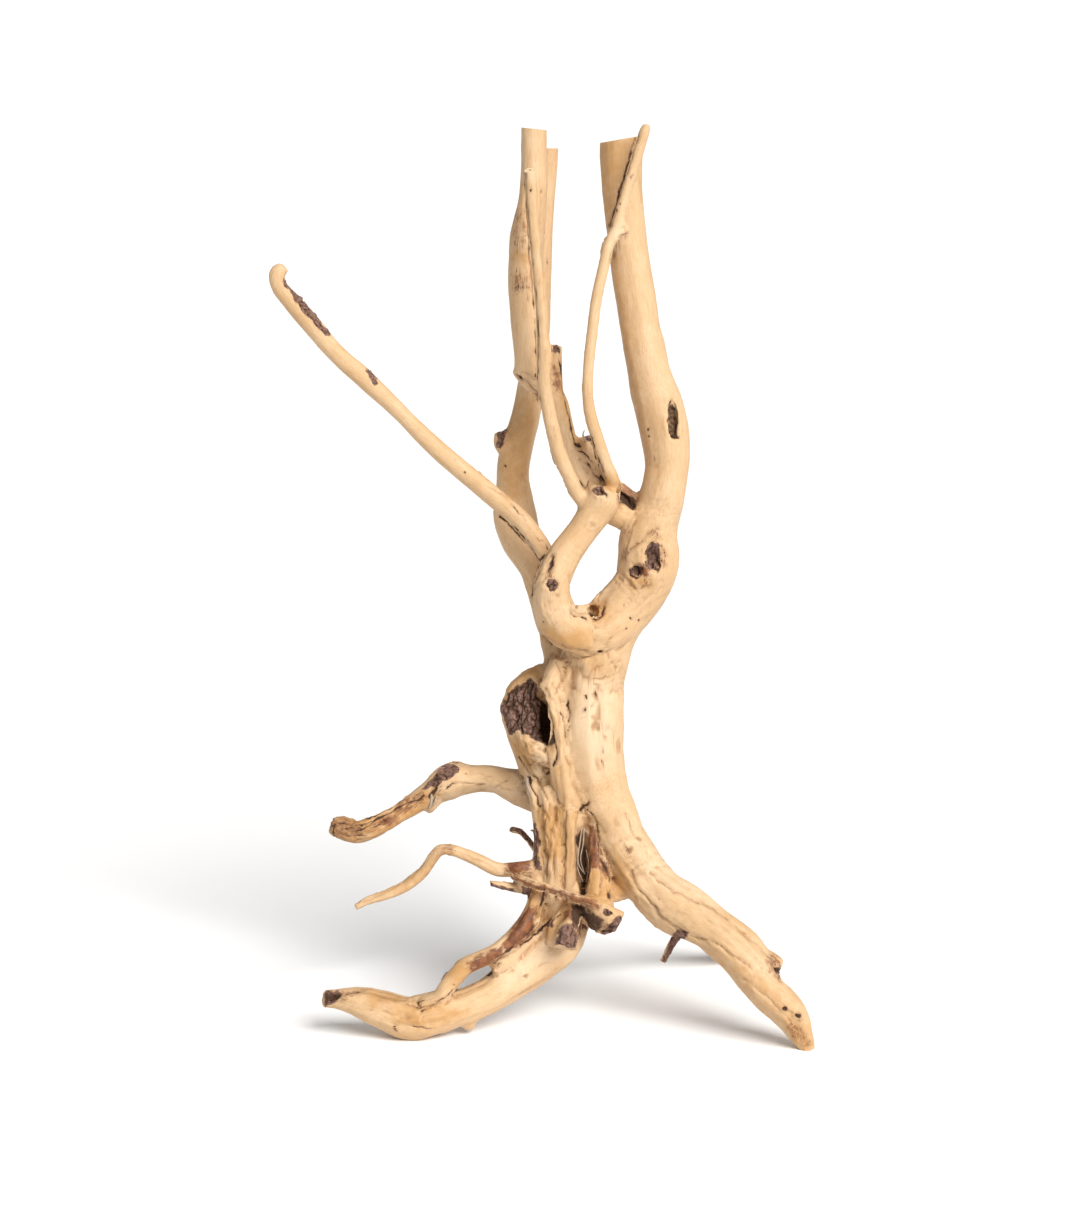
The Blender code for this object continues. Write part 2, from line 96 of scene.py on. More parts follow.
# %% [markdown]
# ## The limbs
# A limb is a smooth line with a width that changes along it. Each station gives millimetres across and up
# as seen, how far back, and the width. A bevelled curve turns such a line into a round limb. The limbs
# overlap where they join, and are fused later. They could be sculpted from a block, but lines keep every
# twig as thin and as long as the real one.
# %% Stations of every limb
STEMS = {
    "main_stem": [
        (31, 122, 0, 28), (26, 142, 0, 32), (24, 160, 0, 35), (24, 175, 0, 35.5),
        (25.3, 187.5, 0, 34), (29.3, 200, 0, 32.6), (34.8, 211, 0, 29), (39.8, 218.5, 0, 28.5),
        (44.8, 224.3, 0, 28.8), (50.2, 231.5, 0, 28.2), (53.4, 239.5, 0, 30), (54.5, 247.5, 0, 30),
        (54.3, 255, 0, 29), (56, 262.5, 0, 26), (58.8, 270, 1, 23.5), (61, 277.5, 1, 22.5),
        (62.5, 285, 2, 22), (63.5, 292.5, 3, 22), (63.5, 300, 3, 23), (62.5, 307.5, 4, 24),
        (61, 315, 4, 24), (59.3, 322.5, 5, 24), (57, 330, 6, 23), (55, 337.5, 6, 21.3),
        (53.5, 345, 7, 21), (52, 352.5, 8, 21), (50.3, 360, 9, 20), (48, 375, 10, 19.8),
        (45.5, 390, 11, 19.8), (43.5, 407.5, 12, 19.5), (42, 422.5, 13, 19.5), (41, 437.5, 14, 20),
        (40.7, 452, 15, 21.2), (40.7, 461, 15, 21.5),
    ],
    "front_loop": [
        (28.5, 205, -6, 20), (20, 208, -12, 21), (12.5, 211.5, -17, 21), (7.5, 219, -20, 19.5),
        (6, 226, -21, 18.5), (6.2, 233, -22, 17.5), (8.6, 240, -20, 17), (12.3, 247.5, -18, 16),
        (17.5, 255, -16, 15), (23, 262.5, -14, 15), (28, 270, -12, 17), (31, 276, -12, 18),
        (32.5, 281, -12, 15),
    ],
    "front_twig": [
        (25, 272, -12, 8), (19, 277.5, -14, 7.2), (15.5, 285, -16, 7.2), (12, 292.5, -17, 7.4),
        (9, 300, -18, 7.4), (7, 307.5, -19, 7.2), (5.2, 315, -20, 7), (3.7, 322.5, -21, 6.8),
        (2.4, 330, -22, 7), (2, 337.5, -23, 7.8), (2.2, 349, -24, 7.8), (1.5, 355, -25, 6.5),
        (1.2, 362.5, -26, 6.2), (0.5, 375, -27, 6), (-1, 390, -28, 5.7), (-2.5, 405, -29, 5.7),
        (-3.7, 420, -30, 5.7), (-4.7, 435, -31, 6), (-5.2, 446, -31, 6),
    ],
    "bowed_twig": [
        (36.8, 279, -8, 8), (36, 285.5, -12, 7.2), (33, 292.5, -15, 6.8), (30.6, 300, -17, 6.4),
        (28.4, 307, -18, 6.2), (25.8, 315, -19, 6), (24.3, 322.5, -20, 5.7), (23.8, 330, -21, 5.5),
        (24.5, 345, -21, 5.5),
        (26.2, 360, -20, 5.5), (28.2, 375, -18, 5.5), (31.5, 390, -15, 5.6), (35, 403.5, -12, 5.6),
        (38.5, 410, -10, 6.6), (40, 417.5, -9, 5.6), (43.5, 430, -7, 5.2), (48, 445, -5, 5.2),
        (51, 455, -4, 5.2), (52.2, 459, -4, 5.2), (54, 463, -4, 4),
    ],
    "middle_stem": [
        (30, 272, -6, 9), (24, 279, -4, 9.5), (19, 288, -3, 9.5), (15, 297.5, -1, 9.5),
        (12.6, 307.5, 0, 10.4), (10.6, 315, 0, 10.8), (8.9, 322, 0, 11), (6, 327.5, 0, 11.5),
        (2, 333.5, 0, 14.5), (-3.5, 339, 0, 17), (-4.5, 346, 0, 16.5), (-5.5, 355, 0, 16.5),
        (-6.5, 365, 0, 16.5), (-7.3, 375, 0, 16.5), (-7.5, 385, 0, 17), (-7, 395, 0, 17),
        (-6.5, 405, -1, 17), (-5.5, 412.5, -1, 16.2), (-4, 422.5, -2, 14.3), (-3, 435, -2, 13.6),
        (-3, 450, -2, 12.8), (-3, 460, -2, 12.6), (-3, 468, -2, 12.6),
    ],
    "middle_burl": [(-4, 341, -1, 13), (-9.5, 338.5, -1, 9), (-12.5, 336.5, -1, 5)],
    "bowed_twig_stub": [(39, 411, -9, 6), (42.5, 410.5, -9, 5), (44.5, 408.5, -9, 4)],
    "eye_corner": [(18.5, 216, -9, 11), (26, 218, -5, 10), (32, 224, -2, 10)],
    "middle_stub": [
        (8, 320, 0, 9), (7.8, 334, 0, 7), (7.8, 346, 0, 6.4), (7.8, 357, 0, 6),
    ],
    "back_stem": [
        (13, 175, 12, 15), (11, 185, 14, 15), (9.5, 195, 17, 15), (8.2, 202.5, 19, 15.5),
        (7, 210, 21, 16), (5, 217.5, 23, 17), (3.6, 225, 25, 18), (1.8, 232.5, 26, 18),
        (-1, 240, 27, 18), (-5.3, 247.5, 28, 19), (-9.8, 256, 28, 20.5), (-12.6, 267.5, 28, 21.3),
        (-13.2, 277.5, 28, 18), (-13.7, 285, 28, 15.7), (-13.3, 292.5, 28, 15.7), (-11.7, 300, 28, 15.5),
        (-9.7, 307.5, 28, 15), (-7.5, 315, 28, 14.3), (-6, 322.5, 28, 13.5), (-4.5, 332.5, 28, 13),
        (-3, 345, 28, 12.5), (-1, 360, 29, 11.5), (0, 375, 29, 10.5), (0.5, 390, 30, 10.4),
        (1, 405, 31, 10.2), (1.8, 420, 32, 10), (2.8, 435, 33, 10.5), (3.5, 450, 34, 11),
        (3.8, 458, 34, 11),
    ],
    "back_stub": [
        (-14, 299, 26, 10), (-19, 304, 25, 8.5), (-20.5, 309, 25, 5),
    ],
    "long_branch": [
        (19, 205, 0, 10), (15, 215, 3, 9), (11.5, 225, 3, 9), (8, 235, 3, 9),
        (3, 247, 1, 9.5), (-3, 256.5, -1, 10), (-10.5, 265.5, -2, 10), (-21.5, 275, -5, 9.7),
        (-33.3, 285, -8, 9.7), (-42.3, 292.5, -9, 9.3), (-50.8, 300, -11, 9.2), (-58.8, 307.5, -12, 8.8),
        (-66.3, 315, -14, 8.2), (-73.8, 322.5, -15, 8.5), (-81.8, 330, -17, 9.2), (-89.8, 337.5, -18, 9.6),
        (-98.5, 345, -20, 9), (-105.8, 352.5, -21, 8.9), (-112.4, 360.5, -22, 9.5),
        (-119.2, 368.4, -23, 9.7), (-126, 376.4, -24, 9), (-130.8, 382.5, -25, 8),
        (-131.3, 388.3, -26, 8), (-127.4, 391.7, -26, 5.5),
    ],
    "torn_stub": [
        (30.5, 277, -2, 13), (28, 290, -2, 13), (25.5, 299, -2, 13), (23.7, 306.8, -2, 10),
    ],
    "crotch_swell": [(18, 207, -11, 20), (27, 208.5, -9, 23), (36, 213, -6, 24), (44, 222, -3, 24)],
    "upper_bridge": [(33, 282, 2, 6), (39, 281, 4, 6.5), (44, 277.5, 4, 6.5), (50, 272.5, 3, 7)],
    "lower_bridge": [(31, 272.5, -6, 14), (38, 268.5, -3, 13), (44, 266, -2, 13.5), (52, 264, 0, 14)],
}

TRUNK = {
    "left_column": [
        (14, 115, 4, 24), (9, 125, 5, 24), (3.5, 137.5, 7, 24), (-1.5, 150, 9, 23),
        (-5, 161.5, 10, 24), (-6.3, 171, 10, 25), (-4.5, 179, 11, 21), (1.5, 186, 12, 13),
        (7, 191, 12, 10),
    ],
    "trunk_ridge": [
        (9, 196, -6, 7), (6, 183, -9, 10), (8.5, 165, -11, 11), (10, 150, -11, 11),
        (13, 130, -10, 12), (15, 118, -9, 10),
    ],
    "pocket_lip": [(9, 148, -6, 11), (1, 149, -6, 12), (-5, 153, -3, 10), (-9, 160, 1, 7)],
    "pocket_knob": [(9, 184, -9, 8), (4, 183, -10, 7), (3, 180, -9, 5)],
}

ROOTS = {
    "right_leg": [
        (26, 142, 0, 31), (31, 127, -1, 28), (38.5, 114, -3, 23), (41.3, 104.5, -5, 24),
        (46.3, 95.5, -8, 25.5), (51, 88, -11, 26), (57.8, 80.5, -15, 25), (65, 74, -19, 25),
        (72, 69, -22, 24), (79, 64.5, -26, 22.5), (85.8, 60.3, -29, 21.5), (92, 55, -32, 21.8),
        (102.8, 44.8, -37, 22), (108.2, 37, -40, 20.5), (113.5, 29.2, -42, 18), (121, 22.6, -44, 18),
        (126.5, 16, -46, 16.5), (130.4, 8, -47, 12), (134.3, 0, -48, 7.5),
    ],
    "right_leg_ridge": [
        (46, 108, -4, 11), (53, 98, -8, 11), (62, 85.3, -14, 11), (76.5, 76.3, -21, 11),
        (90.5, 64.8, -28, 10.5), (104, 55, -34, 10.5), (111, 47, -36, 9),
    ],
    "right_leg_under": [
        (36, 100, -4, 8), (42, 88, -9, 8), (48, 78, -13, 7.5), (55, 69, -16, 7),
        (63, 62, -18, 6), (71, 58, -19, 4.5),
    ],
    "right_leg_knob": [
        (106, 48, -35, 9), (113, 45, -34, 10), (119.3, 41.3, -34, 9.5),
    ],
    "dark_spur": [
        (73.5, 64, -15, 5), (68.5, 57, -14, 4.4), (64.8, 51, -13, 3.8), (61.3, 43.5, -13, 3),
    ],
    "left_leg": [
        (20, 140, 0, 28), (14, 124, 0, 27), (9.5, 105, 0, 25), (8.5, 97.5, -1, 24),
        (8.5, 85, -2, 24), (11, 74, -4, 24), (13, 64, -7, 24.5), (9, 54.5, -10, 24),
        (0.5, 46.5, -13, 22.5), (-10, 38.5, -18, 20.5), (-22, 30, -23, 18.5), (-31, 25, -26, 18),
        (-42.5, 20.5, -29, 19.5), (-54, 18.5, -31, 21.5), (-65, 16.2, -32, 21.6), (-77.5, 20, -32, 19.5),
        (-88, 23, -32, 15.5), (-100, 25.2, -32, 10.5), (-107, 25.5, -32, 8.5), (-113, 26, -32, 8),
    ],
    "left_leg_thorn": [
        (-36, 22, -27, 9), (-35.5, 15, -27, 8), (-35.5, 10, -27, 5),
    ],
    "red_root": [
        (4, 93, -4, 6), (-1, 86, -9, 6.5), (-2, 76, -14, 7.5), (-4.5, 67, -18, 10),
        (-11.5, 57.3, -24, 10), (-21, 49.5, -29, 9), (-29, 45.5, -32, 8.5), (-38, 41, -34, 8.5),
        (-44, 34.5, -35, 8.5), (-50, 27, -37, 8), (-58, 23.5, -36, 7),
    ],
    "upper_root": [
        (14, 122, 5, 18), (3, 127, 10, 20), (-6, 130, 13, 20), (-16, 133.3, 17, 15.5),
        (-25, 135.5, 21, 14), (-35, 135.5, 23, 14.5), (-42.5, 135.2, 24, 17.5), (-49.3, 132, 24, 17),
        (-56, 128, 23, 13), (-67.5, 120.5, 19, 9.6), (-73.3, 117, 17, 9.6), (-84, 111.5, 14, 11),
        (-93.5, 109, 12.5, 11), (-99.8, 111, 12, 10.8), (-104.3, 113, 12, 8.5),
    ],
    "thin_root": [
        (5, 92, -1, 8), (-3.5, 91, -6, 8), (-12.5, 90.5, -9, 7.2), (-20, 90, -10, 6.7),
        (-30, 94.5, -11, 6.3), (-37, 97.5, -11, 6), (-44, 100, -12, 5.6), (-49.5, 100.3, -12, 5.4),
        (-53.2, 96.6, -12, 5.6), (-58.2, 89.3, -13, 5.6), (-62.8, 85.2, -14, 5.8),
        (-68.2, 81.5, -15, 5.4), (-77, 77.6, -16, 5), (-85.5, 75, -17, 4.2), (-92.5, 71.3, -18, 3.2),
    ],
    "crossing_root": [
        (-14, 89, -13, 5), (-10, 85.5, -18, 4.6), (-2.5, 83, -22, 4.6), (9, 79.2, -26, 4.6),
        (17.5, 76, -28, 4.8), (25, 74, -29, 5.2), (31, 70.8, -30, 6.5), (36.5, 67.5, -31, 8),
        (40.2, 64.8, -32, 9.5),
    ],
    "inner_root": [
        (26, 122, -3, 6), (26.5, 110, -6, 7), (27.5, 100, -9, 8.5), (29, 88, -14, 12),
        (29, 78.5, -18, 14), (29.3, 72, -22, 15.5), (30.3, 67, -26, 15.5), (33.3, 64.5, -29, 13.5),
        (37.5, 64.5, -31, 11),
    ],
    "cavity_back": [
        (22, 128, 2, 14), (22, 112, 2, 16), (21, 96, 1, 17), (20, 82, -1, 16), (18, 68, -4, 14),
    ],
    "red_root_seam": [
        (-1, 72, -9, 8), (-5, 61, -16, 9), (-12, 51, -21, 9.5), (-19, 44.5, -26, 9),
        (-24, 40, -28.5, 6),
    ],
    "upper_root_splinter": [(-51, 126, 21, 6), (-54.5, 121.5, 20, 5), (-56, 118.5, 19.5, 3)],
    "root_web": [
        (31, 79, -15, 8), (37.5, 78.5, -13, 10), (45, 82, -10, 8),
    ],
    "barked_stub": [
        (20, 82, -12, 6.5), (17.5, 72.5, -20, 7.5), (15.5, 65, -26, 9), (13.5, 57.5, -31, 10.5),
        (12, 48, -35, 10.5),
    ],
    "stub_strand": [
        (19, 75.5, -17, 4.5), (13, 70.5, -21, 4.6), (8.5, 65, -23, 4.8), (6, 58.5, -23, 4.5),
        (5, 52, -20, 4),
    ],
    "broken_twig": [
        (-1, 80.5, -6, 6), (-8, 80.5, -10, 5), (-16, 81.8, -13, 4.2), (-25, 83.5, -15, 3),
    ],
    "dark_twig": [
        (1, 97, 2, 4), (-3.5, 102, 8, 3.4), (-7, 106.5, 12, 3.2), (-10.5, 109.5, 14, 3.2),
        (-15, 110.3, 15, 3),
    ],
    "rear_root": [
        (32, 125, 6, 20), (42, 108, 18, 18), (54, 92, 34, 16), (66, 79, 50, 15), (79, 67, 65, 14),
        (90, 56, 78, 13), (96.5, 50, 88, 12), (99, 46.5, 92, 9.5),
    ],
}

# Ribs that stand out along the left leg's column, and wood behind the torn bridge.
RIBS = {
    "finger_rib": [
        (14.5, 124, -12, 6), (15, 112, -13, 7), (15, 98, -13, 7), (14.5, 84, -13, 7), (16, 74, -14, 6),
    ],
    "side_rib": [(3, 132, -7, 6.5), (5, 112, -11, 7), (7.5, 92, -12.5, 7), (5, 74, -13, 6)],
    "edge_rib": [(-3.5, 134, -2, 7), (-0.5, 116, -6, 6.5), (0.5, 98, -8, 6.5), (-0.5, 84, -9, 5)],
    "bridge_back": [(35, 276, 3, 5), (40, 275, 4, 5.5), (45, 272.5, 4, 6), (50, 270, 3, 6)],
}
# Hollows: across, up, back, then half sizes across, back and up.
HOLLOWS = {
    "pocket": (-3.5, 168, -10, 8.8, 8.5, 15),
    "pocket_depth": (3.6, 163, -3, 4.2, 13, 11.5),
    "root_cavity": (21.5, 92, -17, 3.2, 9, 16),
    "cup_end": (32.5, 57.5, -37, 8, 7, 5),
    "stem_slit": (67, 315, -8, 2.6, 6, 10.5),
    "upper_eye": (56.7, 246, -15, 3.8, 5.5, 7.5),
    "lower_eye": (48.5, 240, -14.5, 3.9, 5.5, 3.9),
    "crotch_hole": (26.5, 219.5, -10, 3.5, 8, 3),
}


# Sawn or snapped ends: across, up, back of the cut's middle, which way the cut looks (right, back, up)
# and the half width of the block that is cut away.
CUT_ENDS = {
    "main_stem_end": (40.7, 455.4, 15, (-0.17, -0.02, 1), 13),
    "middle_stem_end": (-3, 460.6, -2, (0.1, -0.02, 1), 8),
    "back_stem_end": (3.7, 450.8, 34, (0, 0, 1), 8),
    "front_twig_end": (-5, 440, -31, (-0.15, -0.35, 1), 5),
    "middle_stub_end": (7.8, 352, 0, (0.2, -0.1, 1), 6),
    "left_leg_end": (-107.5, 25.2, -32, (-1, -0.45, 0.25), 9),
    "barked_stub_end": (12.4, 51.5, -34, (-0.1, -0.5, -0.9), 8),
}
# %% Bevelled curves for the limbs
SMOOTHING_LOSS = 0.25
LIMBS = {**TRUNK, **STEMS, **ROOTS, **RIBS}


def seconds():
    """The running time so far, for the prints."""
    return str(round(time.time() - started, 1)) + " s"


def nothing_selected():
    if bpy.context.object and bpy.context.object.mode != "OBJECT":
        bpy.ops.object.mode_set(mode="OBJECT")
    bpy.ops.object.select_all(action="DESELECT")


def limb_curve(name, stations):
    line = bpy.data.curves.new(name, "CURVE")
    line.dimensions = "3D"
    line.resolution_u = 6
    line.bevel_depth = 1.0
    line.bevel_resolution = 6
    line.use_fill_caps = True
    spline = line.splines.new("BEZIER")
    spline.radius_interpolation = "CARDINAL"
    spline.bezier_points.add(len(stations) - 1)
    for point, (across, up, back, width) in zip(spline.bezier_points, stations):
        place, share = seen_at(across, up, back)
        point.co = place
        point.radius = (width / 2 * share + SMOOTHING_LOSS) * MM
        point.handle_left_type = "AUTO"
        point.handle_right_type = "AUTO"
    limb = bpy.data.objects.new(name, line)
    bpy.context.scene.collection.objects.link(limb)
    return limb


nothing_selected()
limbs = [limb_curve(name, stations) for name, stations in LIMBS.items()]
for limb in limbs:
    limb.select_set(True)
bpy.context.view_layer.objects.active = limbs[0]
bpy.ops.object.convert(target="MESH")
bpy.ops.object.join()
wood = bpy.context.object
wood.name = "stump_wood"
wood.data.name = "stump_wood"
print(len(limbs), "limbs,", len(wood.data.vertices), "points")
# %% [markdown]
# ## One skin
# Wood that grew as one piece has no joints, so the overlapping tubes are fused by a voxel remesh, and a
# few smoothing steps round the creases between them. The hollows are cut with egg shapes, which a Boolean
# modifier takes away. The voxels are small enough to keep the thin twigs round.
# %% Fuse the limbs and cut the hollows
SKIN_VOXEL = 1.05 * MM


def apply_modifiers(thing):
    nothing_selected()
    bpy.context.view_layer.objects.active = thing
    thing.select_set(True)
    for modifier in list(thing.modifiers):
        bpy.ops.object.modifier_apply(modifier=modifier.name)


def remesh(thing, voxel, smoothing):
    skin = thing.modifiers.new("Skin", "REMESH")
    skin.mode = "VOXEL"
    skin.voxel_size = voxel
    soften = thing.modifiers.new("Soften", "SMOOTH")
    soften.factor = 0.5
    soften.iterations = smoothing
    apply_modifiers(thing)


def take_away(thing, cutter):
    nothing_selected()
    bpy.context.view_layer.objects.active = cutter
    cutter.select_set(True)
    bpy.ops.object.transform_apply(location=True, rotation=True, scale=True)
    cut = thing.modifiers.new("Cut", "BOOLEAN")
    cut.operation = "DIFFERENCE"
    cut.solver = "MANIFOLD"
    cut.object = cutter
    apply_modifiers(thing)
    bpy.data.objects.remove(cutter)


remesh(wood, SKIN_VOXEL, 0)
for across, up, back, half_across, half_back, half_up in HOLLOWS.values():
    place, share = seen_at(across, up, back)
    nothing_selected()
    bpy.ops.mesh.primitive_ico_sphere_add(subdivisions=4, radius=1.0, location=place)
    egg = bpy.context.object
    egg.scale = Vector((half_across, half_back, half_up)) * share * MM
    take_away(wood, egg)
remesh(wood, SKIN_VOXEL, 4)
print("skin", len(wood.data.polygons), "faces", seconds())
